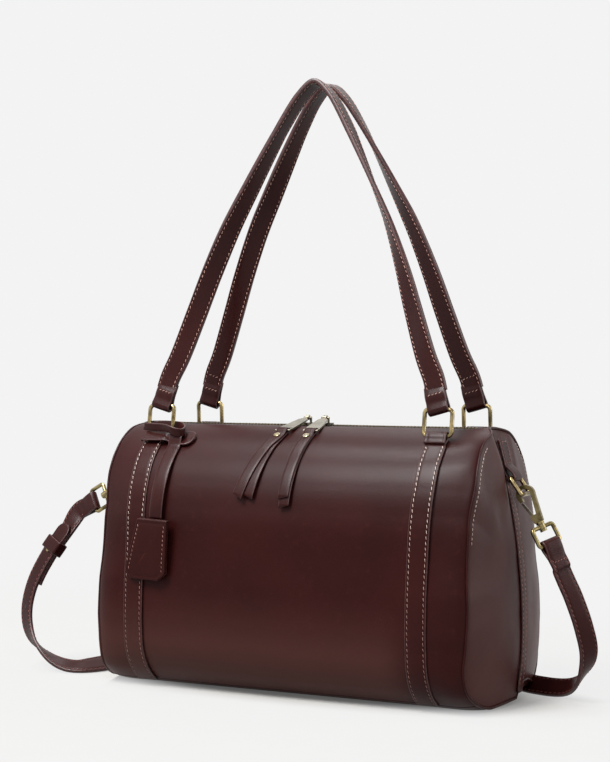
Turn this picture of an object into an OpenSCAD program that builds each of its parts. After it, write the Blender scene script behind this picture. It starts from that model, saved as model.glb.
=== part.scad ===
// Barrel bag in smooth leather with two handles, a zipped top and a shoulder strap.
// Millimetres. X runs along the bag, -Y is its front, Z is up, and the origin is the middle of the base.

/* [Body] */
// Length between the two end seams
body_l = 300; // [240:5:340]
// Width of the body, front to back
body_w = 151; // [130:1:180]
// Height of the body at the zipper
body_h = 200.5; // [180:0.5:230]
// Radius where the faces turn under the base
base_r = 40; // [25:1:50]
// Radius that rounds each end of the barrel
end_r = 30; // [24:1:40]
// How far the barrel draws in at its end seams
end_draw = 7.5; // [4:0.5:10]
// How far each end panel puffs out in the middle
end_puff = 14; // [8:1:18]
// How far the top of an end panel leans in
end_rake = 19; // [12:1:24]
// Height at which an end panel puffs out most
end_belly = 70; // [50:1:90]
// Thickness of the body leather
hide_t = 2.2; // [1.6:0.1:3]
// Thickness of the lining
lining_t = 0.8; // [0.5:0.1:1.2]
// Thickness of the stiffener in the base
board_t = 2; // [1.5:0.1:3]
// Height of the seam between the faces and the base
base_seam = 5; // [4:0.5:10]
// How far the welt stands out of the end seam
welt_h = 0.8; // [0.4:0.1:1.5]
// Width of the strip that covers the middle seam of an end panel
cover_w = 9; // [7:0.5:12]
// Thickness of that strip
cover_t = 1.4; // [1:0.1:2]

/* [Zipper] */
// Width of the slot for the zipper
slot_w = 11; // [10.6:0.1:13]
// Width of the closed row of teeth
chain_w = 4.4; // [4:0.1:5]
// Thickness of the teeth
tooth_t = 2; // [1.8:0.1:2.2]
// Distance between two teeth on one tape
tooth_pitch = 2.8; // [2.6:0.1:3.4]
// Width of one zipper tape
tape_w = 13; // [11:0.5:16]
// Thickness of the tape
tape_t = 0.6; // [0.4:0.05:0.8]
// Length of a slider
slider_l = 11; // [10:0.5:13]
// Width of a slider at its shoulders
slider_w = 10; // [9.8:0.1:10.4]
// Height of the pivot bar above the top plate of a slider
bail_h = 3.8; // [3:0.1:5]
// Distance from a slider's inner end to the middle of the bag
slider_gap = 2; // [1.6:0.1:4]
// Length of a pull plate between its pivots
plate_l = 34; // [28:0.5:36]
// Width of a pull plate
plate_w = 8; // [7:0.5:9]
// Thickness of a pull plate
plate_t = 1.3; // [1:0.1:1.6]
// Angle at which the pulls fan out
pull_yaw = 7; // [0:1:8]
// Length of a leather pull below the plate
leaf_l = 60; // [45:1:70]
// Width of a leather pull
leaf_w = 8.4; // [7:0.2:10]
// Thickness of one layer of a leather pull
leaf_t = 1.3; // [1:0.1:1.6]
// Diameter of the rivet heads
rivet_d = 5; // [4:0.2:6]

/* [Rings and handles] */
// Distance between the middles of the left and right rings
ring_pitch = 232; // [200:1:240]
// Angle of the rings round the top of the barrel
ring_angle = 29; // [26:1:32]
// Outer width of a handle ring
ring_w = 24.6; // [22:0.2:28]
// Distance between the middles of a ring's two bars
ring_h = 19.3; // [17:0.1:22]
// Diameter of the ring wire
wire_d = 3.2; // [2.6:0.1:3.6]
// Width of the bands and the handles
band_w = 16.4; // [14:0.1:17]
// Thickness of a band
band_t = 1.8; // [1.4:0.1:2.4]
// Running clearance round a ring bar
bar_gap = 0.3; // [0.2:0.05:0.4]
// Length of the folded tab below a ring
tab_run = 6.8; // [6:0.2:8]
// Height of the handles above the lower bars of their rings
handle_h = 265; // [220:1:300]
// Distance of the front handle's top behind the middle of the bag
front_top_y = 4; // [0:0.5:6]
// Distance of the rear handle's top behind the middle of the bag
rear_top_y = 25.5; // [24:0.5:32]
// Thickness of a handle
handle_t = 3.6; // [3:0.1:4.4]
// Length of the folded end of a handle
fold_run = 13; // [10:0.5:18]

/* [End rings] */
// Height of the pivot of each end ring
d_ring_z = 163.5; // [155:0.5:168]
// Distance between the middles of an end ring's two bars
d_ring_h = 14.5; // [13:0.5:18]
// Outer width of an end ring
d_ring_w = 21.4; // [20:0.2:24]
// Width of the tab that holds an end ring
end_tab_w = 14.4; // [12:0.2:14.6]
// Lean of the right end ring from straight down
right_lean = 36; // [30:1:42]
// Lean of the left end ring from straight down
left_lean = 40; // [34:1:44]

/* [Snap hooks] */
// Length of a snap hook from the ring bar to the shoulder
hook_l = 22.5; // [21:0.5:26]
// Half of the clear width inside a snap hook
hook_in = 4.1; // [4:0.1:5]
// Play of the ring bar below the nose of a hook
hook_play = 2; // [1.6:0.1:2.6]
// Thickness of the hook
hook_t = 3; // [2.6:0.1:3.4]
// Lean of the right snap hook from straight down
right_hook_lean = 28; // [22:1:34]
// Lean of the left snap hook from straight down
left_hook_lean = 60; // [52:1:66]
// Diameter of the swivel stem
stem_d = 3; // [2.6:0.1:3.4]
// Turn of the right swivel ring on its stem
right_swivel = 34; // [20:1:45]
// Turn of the left swivel ring on its stem
left_swivel = 75; // [60:1:85]
// Outer width of a swivel ring
swivel_w = 22.4; // [22:0.2:25]
// Distance between the middles of a swivel ring's two bars
swivel_h = 13.4; // [12:0.2:16]

/* [Shoulder strap] */
// Width of the shoulder strap
strap_w = 15.4; // [13:0.2:16]
// Thickness of the shoulder strap
strap_t = 2.8; // [2.2:0.1:3.2]
// Reach of the strap beyond the end seams
strap_out = 98; // [90:1:110]
// Reach of the strap behind the body
strap_back = 106; // [80:1:120]
// Length of the fold that holds each swivel ring
strap_fold = 18; // [14:0.5:22]
// Distance from the ring bar to the free end of the strap
strap_tip = 30; // [26:1:34]
// Distance from the ring bar to the stud
stud_at = 52; // [46:1:58]
// Length of the short hook strap
hook_strap_l = 88; // [78:1:94]
// Width of the keeper along the strap
keeper_l = 11; // [8:0.5:14]
// Thickness of the keeper leather
keeper_t = 1.4; // [1:0.1:2]
// Distance from the ring bar to the first open hole
first_hole = 104; // [98:1:110]
// Distance between the open strap holes
hole_pitch = 31; // [25:1:36]
// Diameter of the strap holes
hole_d = 2.6; // [2:0.1:3.2]

/* [Hanging tag] */
// Width of the tag strap
tag_strap_w = 11; // [9:0.2:12]
// Thickness of the tag strap
tag_strap_t = 1.6; // [1.2:0.1:2.2]
// Distance of the tag strap inward from the middle of its ring
tag_in = 20; // [19.8:0.2:22]
// Length of the tag strap down to the tag
tag_drop = 68; // [60:1:72]
// Width of the loop that goes round the ring
loop_w = 5.6; // [4.5:0.1:6.5]
// Thickness of that loop
loop_t = 1.4; // [1:0.1:2]
// Width of the head that keeps the tag strap on
head_w = 10.5; // [8:0.5:12]
// Width of the tag at its top
tag_top_w = 26; // [22:0.5:30]
// Width of the tag at its bottom
tag_w = 35; // [30:0.5:40]
// Height of the tag
tag_h = 46; // [40:1:55]
// Thickness of the tag
tag_t = 5; // [4:0.2:7]

/* [Hidden] */
$fn = 64;
eps = 0.01;
over = 40;
gap = 0.3;
fit = 0.05;
curve_fn = 160;
dome_fn = 360;

burgundy = [0.27, 0.11, 0.11];
dark_edge = [0.12, 0.06, 0.06];
brass = [0.72, 0.58, 0.33];
old_brass = [0.45, 0.38, 0.27];
cloth = [0.42, 0.36, 0.32];
tape_colour = [0.16, 0.09, 0.09];

// Barrel: radius of its round top, height of that radius, and the ends
barrel_r = body_w / 2;
axis_z = body_h - barrel_r;
round_x = body_l / 2 - sqrt(pow(end_r, 2) - pow(end_r - end_draw, 2));
reach_x = body_l / 2 + 2 * end_puff;
function seam_r(inset) = barrel_r - end_r + sqrt(pow(end_r - inset, 2) - pow(body_l / 2 - round_x, 2));
// End panel: radii of its puff across and up
tip_x = body_l / 2 + end_puff;
puff_r = (pow(seam_r(0), 2) + pow(end_puff, 2)) / (2 * end_puff);
rake_h = axis_z + seam_r(0) - end_belly;
rake_r = (pow(rake_h, 2) + pow(end_rake, 2)) / (2 * end_rake);
function dome_x(z, proud) = tip_x - rake_r + sqrt(pow(rake_r + proud, 2) - pow(z - end_belly, 2));

// Zipper levels
tooth_z = body_h - hide_t - tape_t / 2;
part_y = 1.8 / 4.4 * chain_w;
part_x = slider_gap + 0.6 * slider_l;
plate_air = (tooth_t + 2 * gap);
slider_plate = 0.55 * tooth_t;
slider_top = tooth_z + plate_air / 2 + slider_plate;
bail_r = 0.45 * tooth_t;
bail_z = slider_top + bail_h;
slider_mid = slider_gap + slider_l / 2;

// Rings
wire_r = wire_d / 2;
loop_in = wire_r + bar_gap;
loop_r = loop_in + band_t;
bar_r = barrel_r + loop_r;
bar_y = -bar_r * sin(ring_angle);
bar_z = axis_z + bar_r * cos(ring_angle);
ring_x = ring_pitch / 2;
front_lean = atan((front_top_y - bar_y) / handle_h);
rear_lean = atan((rear_top_y + bar_y) / handle_h);
handle_run = handle_h / cos(front_lean) - ring_h;
rear_run = handle_h / cos(rear_lean) - ring_h;

// Pulls: the slot bar of a plate lies just above the barrel
slot_r = bail_r;
fold_in = slot_r + bar_gap / 2;
fold_r = fold_in + leaf_t;
slot_dist = barrel_r + fold_r + gap;
bail_dist = bail_z - axis_z;
slot_a = acos((pow(bail_dist, 2) + pow(slot_dist, 2) - pow(plate_l, 2)) / (2 * bail_dist * slot_dist));
slot_y = -slot_dist * sin(slot_a);
slot_z = axis_z + slot_dist * cos(slot_a);
plate_tilt = atan((bail_z - slot_z) / -slot_y);
leaf_in = barrel_r + gap;

// End rings
d_bar_x = dome_x(d_ring_z, cover_t) + loop_in + 2 * band_t;
strap_axis_z = d_ring_z - d_ring_h * cos((right_lean + left_lean) / 2);

// Shapes of the barrel
module end_outline(inset) {
    // Half of the barrel seen from above: radius along X, length along Y
    intersection() {
        union() {
            translate([0, -round_x]) square([barrel_r - inset, 2 * round_x]);
            for (s = [-1, 1]) translate([barrel_r - end_r, s * round_x])
                circle(r = end_r - inset, $fn = curve_fn);
            translate([0, -body_l / 2]) square([barrel_r - end_r, body_l]);
        }
        translate([0, -body_l / 2]) square([body_w, body_l]);
    }
    translate([0, -reach_x]) square([seam_r(inset), 2 * reach_x]);
}

module section(inset) {
    // Cross-section of the barrel, drawn as (Y, Z)
    translate([0, axis_z]) circle(r = barrel_r - inset, $fn = curve_fn);
    translate([-barrel_r + inset, base_r]) square([body_w - 2 * inset, axis_z - base_r]);
    translate([-barrel_r + base_r, inset]) square([body_w - 2 * base_r, axis_z - inset]);
    for (s = [-1, 1]) translate([s * (barrel_r - base_r), base_r])
        circle(r = base_r - inset, $fn = curve_fn);
}

module along_x(length) {
    // Stands a (Y, Z) outline up along X, centred
    rotate([90, 0, 90]) translate([0, 0, -length / 2]) linear_extrude(length) children();
}

module along_y(width) {
    // Stands an (X, Z) outline up along Y, centred
    rotate([90, 0, 0]) translate([0, 0, -width / 2]) linear_extrude(width) children();
}

module barrel(inset) {
    translate([0, 0, axis_z]) rotate([0, 90, 0]) rotate([0, 0, 90])
        rotate_extrude(angle = 180, $fn = curve_fn) end_outline(inset);
    intersection() {
        linear_extrude(axis_z) for (s = [0, 1]) mirror([0, s]) rotate([0, 0, 90])
            end_outline(inset);
        along_x(2 * reach_x) section(inset);
    }
}

module dome(inset) {
    // Region behind the right end panel's outer face, less inset
    translate([tip_x - rake_r, 0, end_belly]) rotate([90, 0, 0]) rotate_extrude($fn = dome_fn) {
        translate([0, -body_w]) square([rake_r - puff_r, 2 * body_w]);
        intersection() {
            translate([rake_r - puff_r, 0]) circle(r = puff_r - inset, $fn = dome_fn);
            translate([0, -body_w]) square([2 * rake_r, 2 * body_w]);
        }
    }
}

module ends(inset) {
    intersection() {
        dome(inset);
        mirror([1, 0, 0]) dome(inset);
        children();
    }
}

module block(x0, x1, y0, y1, z0, z1) {
    translate([x0, y0, z0]) cube([x1 - x0, y1 - y0, z1 - z0]);
}

// Body panels
module shell() {
    ends(hide_t) difference() {
        barrel(0);
        barrel(hide_t);
        block(-reach_x, reach_x, -slot_w / 2, slot_w / 2, axis_z, body_h + over);
    }
}

module front_panel() {
    color(burgundy) intersection() {
        shell();
        block(-reach_x, reach_x, -body_w, -slot_w / 2, base_seam, body_h + over);
    }
}

module back_panel() {
    mirror([0, 1, 0]) front_panel();
}

module base_panel() {
    color(burgundy) intersection() {
        shell();
        block(-reach_x, reach_x, -body_w, body_w, -over, base_seam);
    }
}

module gusset(side) {
    // Rear (1) or front (-1) half of the right end panel
    color(burgundy) intersection() {
        difference() {
            dome(0);
            dome(hide_t);
            block(0, reach_x, -slot_w / 2, slot_w / 2, end_tab_top, body_h + over);
        }
        barrel(0);
        block(0, reach_x, min(0, side * body_w), max(0, side * body_w), 0, body_h);
    }
}

end_tab_top = axis_z + seam_r(hide_t);

module end_cover() {
    color(burgundy) difference() {
        intersection() {
            dome(-cover_t);
            block(0, reach_x + over, -cover_w / 2, cover_w / 2, base_r / 3, end_tab_top - 3 * cover_t);
        }
        dome(0);
    }
}

module end_welt() {
    color(burgundy) intersection() {
        difference() {
            barrel(-welt_h);
            barrel(0);
        }
        difference() {
            dome(0);
            dome(hide_t);
        }
        block(0, reach_x, -body_w, body_w, 0, body_h + over);
    }
}

module lining() {
    color(cloth) difference() {
        ends(hide_t) barrel(hide_t);
        ends(hide_t + lining_t) barrel(hide_t + lining_t);
        block(-reach_x, reach_x, -slot_w / 2, slot_w / 2, axis_z, body_h + over);
        tape_room();
    }
}

module tape_room() {
    // Space between the panels and the lining that holds the tapes
    intersection() {
        barrel(hide_t);
        block(-reach_x, reach_x, -tape_w - gap, tape_w + gap, body_h - 3 * hide_t, body_h);
    }
}

module base_board() {
    side = barrel_r - base_r;
    color(dark_edge) block(-body_l / 2 + base_r / 2, body_l / 2 - base_r / 2, -side, side,
        hide_t + lining_t, hide_t + lining_t + board_t);
}

// Zipper
tape_end = body_l / 2 - 2 * hide_t;

module zip_tape() {
    seat = 5 * fit; // the rows of teeth lean a little where they part
    color(tape_colour) ends(hide_t + lining_t) intersection() {
        difference() {
            barrel(hide_t);
            barrel(hide_t + tape_t);
        }
        translate([0, 0, axis_z]) linear_extrude(body_h) polygon(concat([[-tape_end, -tape_w],
            [-tape_end, -chain_w / 2 - seat]],
            [for (i = [-32:32]) let (x = i / 32 * part_x) [x, -chain_w / 2 - seat - parted(x)]],
            [[tape_end, -chain_w / 2 - seat], [tape_end, -tape_w]]));
    }
}

function smooth(t) = t <= 0 ? 0 : t >= 1 ? 1 : t * t * (3 - 2 * t);
// How far a tooth is drawn aside by the sliders at this place along the bag
function parted(x) = part_y * smooth((part_x - abs(x)) / (part_x - slider_gap / 2));

// Outline of one tooth as shares of the chain width and of the tooth pitch
tooth_shares = [[-0.5, -0.26], [-0.12, -0.26], [-0.06, -0.17], [-0.02, -0.17], [0.04, -0.23],
    [0.1, -0.14], [0.1, 0.14], [0.04, 0.23], [-0.02, 0.17], [-0.06, 0.17], [-0.12, 0.26],
    [-0.5, 0.26]];

module tooth() {
    points = [for (p = tooth_shares) [p[1] * tooth_pitch, p[0] * chain_w]];
    translate([0, 0, -tooth_t / 2]) linear_extrude(tooth_t) polygon(points);
}

module tooth_row(shift) {
    // Straight run along the top, then an arc over each end of the barrel
    arc_r = end_r - (body_h - tooth_z);
    straight = floor((round_x - shift) / tooth_pitch);
    for (i = [-straight:straight]) {
        x = i * tooth_pitch + shift;
        translate([x, -parted(x), tooth_z]) tooth();
    }
    for (s = [-1, 1], i = [1:4]) {
        past = (straight + i) * tooth_pitch + s * shift - round_x;
        a = past / arc_r * 180 / PI;
        translate([s * round_x, 0, body_h - end_r]) rotate([0, s * a, 0])
            translate([0, 0, arc_r]) tooth();
    }
}

module front_zip_teeth() {
    color(brass) tooth_row(0);
}

module rear_zip_teeth() {
    color(brass) mirror([0, 1, 0]) tooth_row(tooth_pitch / 2);
}

// Slider outlines as shares of its length and half width, inner end first
slider_shares = [[0, 0.5], [0.12, 0.86], [0.3, 1], [0.55, 1], [1, 0.66]];
channel_shares = [[-0.1, 0.84], [0.38, 0.84], [0.68, 0.49], [1.1, 0.49]];

function both_sides(shares) = concat(
    [for (p = shares) [p[0] * slider_l, p[1] * slider_w / 2]],
    [for (i = [len(shares) - 1:-1:0]) [shares[i][0] * slider_l, -shares[i][1] * slider_w / 2]]);

module slider() {
    // Right slider: it closes the teeth behind it as it comes to the middle
    low = tooth_z - plate_air / 2 - slider_plate;
    tape_slit = 1.2 * tape_t;
    post_l = 0.27 * slider_l;
    color(old_brass) translate([slider_gap, 0, 0]) {
        difference() {
            translate([0, 0, low]) linear_extrude(slider_top - low) polygon(both_sides(slider_shares));
            translate([0, 0, tooth_z - plate_air / 2]) linear_extrude(plate_air)
                polygon(both_sides(channel_shares));
            block(-over, over, -over, over, tooth_z - tape_slit, tooth_z + tape_slit);
        }
        translate([0, 0, low]) linear_extrude(slider_top - low)
            polygon([[0, 0], [post_l / 2, part_y / 3], [post_l, 0], [post_l / 2, -part_y / 3]]);
        bail();
    }
}

module bail() {
    // Low arch on the slider, with its pivot bar along X
    foot = 0.26 * slider_l;
    for (x = [foot, slider_l - foot]) translate([x, 0, slider_top - slider_plate / 2])
        cylinder(h = bail_h + slider_plate / 2, r = bail_r, $fn = 32);
    for (x = [foot, slider_l - foot]) translate([x, 0, bail_z]) sphere(r = bail_r, $fn = 32);
    translate([foot, 0, bail_z]) rotate([0, 90, 0])
        cylinder(h = slider_l - 2 * foot, r = bail_r, $fn = 32);
}

module pull_frame() {
    // Origin on the pivot bar, pull pointing along +X, slot bar at plate_l
    translate([slider_mid, 0, bail_z]) rotate([plate_tilt, 0, 0]) rotate([0, 0, -90 + pull_yaw])
        children();
}

module pull_plate() {
    // The eye turns on the slider's bar; the plate ends in a slot for the leather
    eye_w = 0.25 * slider_l;
    eye_r = bail_r + bar_gap / 2 + plate_t * 0.7;
    eye_half = eye_r - eps;
    slot_l = 2.2 * fold_r;
    slot_half = leaf_w / 2 + 1.5 * gap;
    rim = 1.1 * plate_t;
    reach = plate_l / cos(pull_yaw);
    color(brass) difference() {
        union() {
            translate([slider_mid - eye_w / 2, 0, bail_z]) rotate([0, 90, 0])
                cylinder(h = eye_w, r = eye_r);
            pull_frame() translate([0, 0, -plate_t / 2]) linear_extrude(plate_t) polygon([
                [eye_half * 0.6, -eye_w / 2], [eye_r * 1.6, -eye_w / 2], [plate_w * 0.8, -plate_w / 2],
                [reach - slot_l - rim, -slot_half - rim], [reach - slot_r, -slot_half - rim],
                [reach - slot_r, slot_half + rim], [reach - slot_l - rim, slot_half + rim],
                [plate_w * 0.8, plate_w / 2], [eye_r * 1.6, eye_w / 2], [eye_half * 0.6, eye_w / 2]]);
            slot_bar(slot_half + rim);
        }
        translate([slider_mid - over, 0, bail_z]) rotate([0, 90, 0])
            cylinder(h = 2 * over, r = bail_r + bar_gap / 2);
        pull_frame() block(reach - slot_l, reach - slot_r * 0.6, -slot_half, slot_half,
            -plate_t, plate_t);
    }
    color(brass) slot_bar(slot_half + rim);
}

module slot_bar(half) {
    at_slot() rotate([0, 90, 0]) translate([0, 0, -half]) cylinder(h = 2 * half, r = slot_r, $fn = 32);
}

module at_slot() {
    // The slot bar runs along X, where the leather hinges
    translate([slider_mid + plate_l * tan(pull_yaw), slot_y, slot_z]) children();
}

// Leather pull: how far its end wanders along X, as a share of its length
right_drift_share = -0.03;
left_drift_share = 0.18;

module pull_leather(drift) {
    // A strip folded round the slot bar, its two layers lying down the front of the barrel
    turn = leaf_l / barrel_r * 180 / PI;
    x0 = slider_mid + plate_l * tan(pull_yaw);
    low = [x0 + drift * leaf_l, axis_z + barrel_r * cos(slot_a + turn)];
    color(burgundy) difference() {
        intersection() {
            along_x(4 * over) union() {
                translate([slot_y, slot_z]) circle(r = fold_r);
                difference() {
                    translate([0, axis_z]) circle(r = leaf_in + 2 * leaf_t, $fn = curve_fn);
                    translate([0, axis_z]) circle(r = leaf_in, $fn = curve_fn);
                    polygon([[0, axis_z], [over, axis_z], [over, body_h + over], [0, body_h + over]]);
                    far = body_h;
                    translate([0, axis_z]) polygon([[0, 0], [-far * sin(slot_a), far * cos(slot_a)],
                        [0, far], [far, far], [far, -far], [-far, -far],
                        [-far * sin(slot_a + turn), far * cos(slot_a + turn)]]);
                }
                neck_points();
            }
            along_y(4 * body_w) polygon([[x0 - leaf_w / 2, slot_z + over], [x0 - leaf_w / 2, slot_z - fold_r],
                [low[0] - leaf_w / 2, low[1] - leaf_w / 4], [low[0] + leaf_w / 2, low[1] - leaf_w / 4],
                [x0 + leaf_w / 2, slot_z - fold_r], [x0 + leaf_w / 2, slot_z + over]]);
        }
        at_slot() rotate([0, 90, 0]) translate([0, 0, -over]) cylinder(h = 2 * over, r = fold_in);
        rivet_at(drift) cylinder(h = 2 * over, r = rivet_d / 4 + fit, center = true);
    }
}

module neck_points() {
    // Fills between the fold round the slot bar and the two flat layers
    a1 = slot_a + fold_r / barrel_r * 180 / PI * 1.6;
    r0 = leaf_in;
    r1 = leaf_in + 2 * leaf_t;
    difference() {
        polygon([polar(slot_a, slot_dist + fold_r * 0.98), polar(a1, r1), polar(a1, r0), polar(slot_a, r0)]);
        translate([0, axis_z]) circle(r = leaf_in, $fn = curve_fn);
    }
}

function polar(a, r) = [-r * sin(a), axis_z + r * cos(a)];

module rivet_at(drift) {
    // Middle of the rivet, with Z pointing out of the barrel
    down = 1.5 * rivet_d;
    a = slot_a + down / barrel_r * 180 / PI;
    p = polar(a, leaf_in + 2 * leaf_t);
    translate([slider_mid + plate_l * tan(pull_yaw) + drift * down, p[0], p[1]]) rotate([a, 0, 0])
        children();
}

module pull_rivet(drift) {
    head = 0.16 * rivet_d;
    color(brass) rivet_at(drift) {
        translate([0, 0, -2 * leaf_t + fit]) cylinder(h = 2 * leaf_t - fit + head / 2, r = rivet_d / 4);
        cylinder(h = head, r = rivet_d / 2);
        translate([0, 0, head]) cylinder(h = head * 0.6, r1 = rivet_d / 2 - head / 3, r2 = rivet_d / 3);
    }
}

// Bands, tabs and rings
module band_outline() {
    // Front band: tab folded round the ring bar, then the strip down to the base seam, as (Y, Z)
    tab_a = ring_angle + tab_run / barrel_r * 180 / PI;
    far = 2 * body_h;
    difference() {
        union() {
            translate([bar_y, bar_z]) circle(r = loop_r);
            polygon([polar(ring_angle, bar_r + loop_r * 0.97), polar(tab_a, barrel_r + 2 * band_t),
                polar(tab_a, barrel_r - band_t), polar(ring_angle, barrel_r - band_t)]);
            difference() {
                section(-band_t);
                translate([0, axis_z]) polygon([[0, 0], [-far * sin(tab_a), far * cos(tab_a)],
                    [0, far], [far, far], [far, 0]]);
                translate([-far, -far]) square([2 * far, far + base_seam]);
                translate([0, -far]) square([far, 2 * far]);
            }
        }
        translate([bar_y, bar_z]) circle(r = loop_in);
        section(0);
    }
}

module band(x) {
    color(burgundy) translate([x, 0, 0]) along_x(band_w) band_outline();
}

module wire_ring(width, height, wire, corner) {
    // Rounded rectangle of wire in the XZ plane; its lower bar's middle is the origin
    hw = width / 2 - wire / 2;
    r = wire / 2;
    bar = r - fit / 2;
    reach = 4 * fit;
    for (z = [0, height]) translate([corner - hw - reach, 0, z]) rotate([0, 90, 0])
        cylinder(h = 2 * (hw - corner + reach), r = bar, $fn = 32);
    for (s = [-1, 1]) translate([s * hw, 0, corner - reach])
        cylinder(h = height - 2 * corner + 2 * reach, r = bar, $fn = 32);
    for (q = [[1, 1, 0], [-1, 1, 1], [-1, -1, 2], [1, -1, 3]])
        translate([q[0] * (hw - corner), 0, height / 2 + q[1] * (height / 2 - corner)])
            rotate([0, -90 * q[2], 0]) intersection() {
                rotate([90, 0, 0]) rotate_extrude($fn = 64) translate([corner, 0]) circle(r = r, $fn = 32);
                block(0, 2 * corner, -corner, corner, 0, 2 * corner);
            }
}

module handle_ring(x) {
    color(brass) translate([x, bar_y, bar_z]) rotate([-front_lean, 0, 0])
        wire_ring(ring_w, ring_h, wire_d, ring_h / 6);
}

module rear_ring(x) {
    color(brass) translate([x, -bar_y, bar_z]) rotate([-rear_lean, 0, 0])
        wire_ring(ring_w, ring_h, wire_d, ring_h / 6);
}

// Ribbons: a strip swept along points, with a width direction at each point
function unit(v) = v / norm(v);
function blend(a, b, t) = a * (1 - t) + b * t;
function spline_at(p0, p1, p2, p3, t) = 0.5 * (2 * p1 + (p2 - p0) * t
    + (2 * p0 - 5 * p1 + 4 * p2 - p3) * t * t + (3 * p1 - p0 - 3 * p2 + p3) * t * t * t);
function spline(p, n) = concat(
    [for (i = [0:len(p) - 2], k = [0:n - 1])
        spline_at(p[max(i - 1, 0)], p[i], p[i + 1], p[min(i + 2, len(p) - 1)], k / n)],
    [p[len(p) - 1]]);
function tangent(p, i) = unit(p[min(i + 1, len(p) - 1)] - p[max(i - 1, 0)]);
function across(w, t) = unit(w - (w * t) * t);

module ribbon(points, sides, shares, width, thick) {
    // The section is a flat strip with its edges rounded off; shares narrows it at each point
    n = len(points);
    edge = thick * 0.3;
    ring = [[-width / 2, -thick / 2 + edge], [-width / 2 + edge, -thick / 2],
        [width / 2 - edge, -thick / 2], [width / 2, -thick / 2 + edge],
        [width / 2, thick / 2 - edge], [width / 2 - edge, thick / 2],
        [-width / 2 + edge, thick / 2], [-width / 2, thick / 2 - edge]];
    m = len(ring);
    corners = [for (i = [0:n - 1]) let (t = tangent(points, i), w = across(sides[i], t), u = cross(w, t))
        for (q = ring) points[i] + q[0] * shares[i] * w + q[1] * u];
    walls = [for (i = [0:n - 2], j = [0:m - 1]) let (a = i * m + j, b = i * m + (j + 1) % m)
        each [[a, b, b + m], [a, b + m, a + m]]];
    polyhedron(corners, concat(walls, [[for (j = [m - 1:-1:0]) j]],
        [[for (j = [0:m - 1]) (n - 1) * m + j]]));
}

// Half of a handle as shares of the half spread and of the handle's rise
handle_shares = [[1, 0.055], [0.955, 0.1], [0.885, 0.16], [0.79, 0.285], [0.69, 0.42], [0.575, 0.555],
    [0.455, 0.67], [0.325, 0.79], [0.215, 0.885], [0.11, 0.96], [0, 1]];

// Turn of each handle from flat against its rings, in degrees, by share of its rise
front_twist = [[0.05, 0], [0.34, 28], [0.59, 64], [0.85, 90], [1, 90]];
rear_twist = [[0.05, 0], [0.34, 15], [0.59, 37], [0.85, 75], [1, 90]];

module handle(run, twist) {
    // Origin at the middle between the two upper ring bars, handle rising along Z
    half = [for (p = handle_shares) [p[0] * ring_x, 0, p[1] * run]];
    path = spline(concat([for (p = half) [-p[0], p[1], p[2]]],
        [for (i = [len(half) - 2:-1:0]) half[i]]), 3);
    sides = [for (i = [0:len(path) - 1]) let (rise = path[i][2] / run, turn = lookup(rise, twist),
        t = tangent(path, i), flat = [path[i][0] < 0 ? 1 : -1, 0, 0],
        inward = unit(blend(flat, [t[2], 0, -t[0]], smooth((rise - 0.055) / 0.16))))
        cos(turn) * inward + sin(turn) * [0, 1, 0]];
    ribbon(path, sides, [for (p = path) 1], band_w, handle_t);
    for (s = [-1, 1]) translate([s * ring_x, 0, 0]) handle_end(run);
}

module handle_end(run) {
    // The strap folds round the ring bar and is sewn to itself above it
    top = handle_shares[0][1] * run;
    flap = 0.4 * handle_t;
    difference() {
        along_x(band_w) {
            circle(r = loop_in + handle_t / 2);
            translate([-handle_t / 2, 0]) square([handle_t, top]);
            translate([-handle_t / 2 - flap, 0]) square([flap + eps, fold_run]);
        }
        rotate([0, 90, 0]) cylinder(h = 2 * band_w, r = loop_in, center = true);
    }
}

module front_handle() {
    color(burgundy) translate([0, bar_y, bar_z]) rotate([-front_lean, 0, 0])
        translate([0, 0, ring_h]) handle(handle_run, front_twist);
}

module rear_handle() {
    color(burgundy) translate([0, -bar_y, bar_z]) rotate([-rear_lean, 0, 0])
        translate([0, 0, ring_h]) handle(rear_run, rear_twist);
}

// End tabs and end rings
module end_tab() {
    // Leather tongue from the end of the zipper down to the end ring, as (X, Z)
    centre = [tip_x - rake_r, end_belly];
    inner = rake_r + cover_t + gap / 2;
    color(burgundy) difference() {
        along_y(end_tab_w) difference() {
            union() {
                translate([d_bar_x, d_ring_z]) circle(r = loop_r);
                intersection() {
                    difference() {
                        translate(centre) circle(r = inner + 2 * band_t, $fn = dome_fn);
                        translate(centre) circle(r = inner, $fn = dome_fn);
                    }
                    translate([body_l / 2 - over, d_ring_z]) square([2 * over, end_tab_top - d_ring_z + band_t]);
                }
            }
            translate(centre) circle(r = inner, $fn = dome_fn);
        }
        translate([d_bar_x, 0, d_ring_z]) rotate([90, 0, 0])
            cylinder(h = 2 * end_tab_w, r = loop_in, center = true);
    }
}

module end_ring(lean) {
    color(brass) translate([d_bar_x, 0, d_ring_z]) rotate([0, 180 - lean, 0]) rotate([0, 0, 90])
        wire_ring(d_ring_w, d_ring_h, wire_d, d_ring_h / 6);
}

// Snap hooks: drawn in the XZ plane with the ring bar at the origin and the hook running down -Z
gate_pivot_share = 0.8;
gate_tip_share = 0.2;

module hook_place(ring_lean, hook_lean) {
    translate([d_bar_x + d_ring_h * sin(ring_lean), 0, d_ring_z - d_ring_h * cos(ring_lean)])
        rotate([0, -hook_lean, 0]) children();
}

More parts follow.
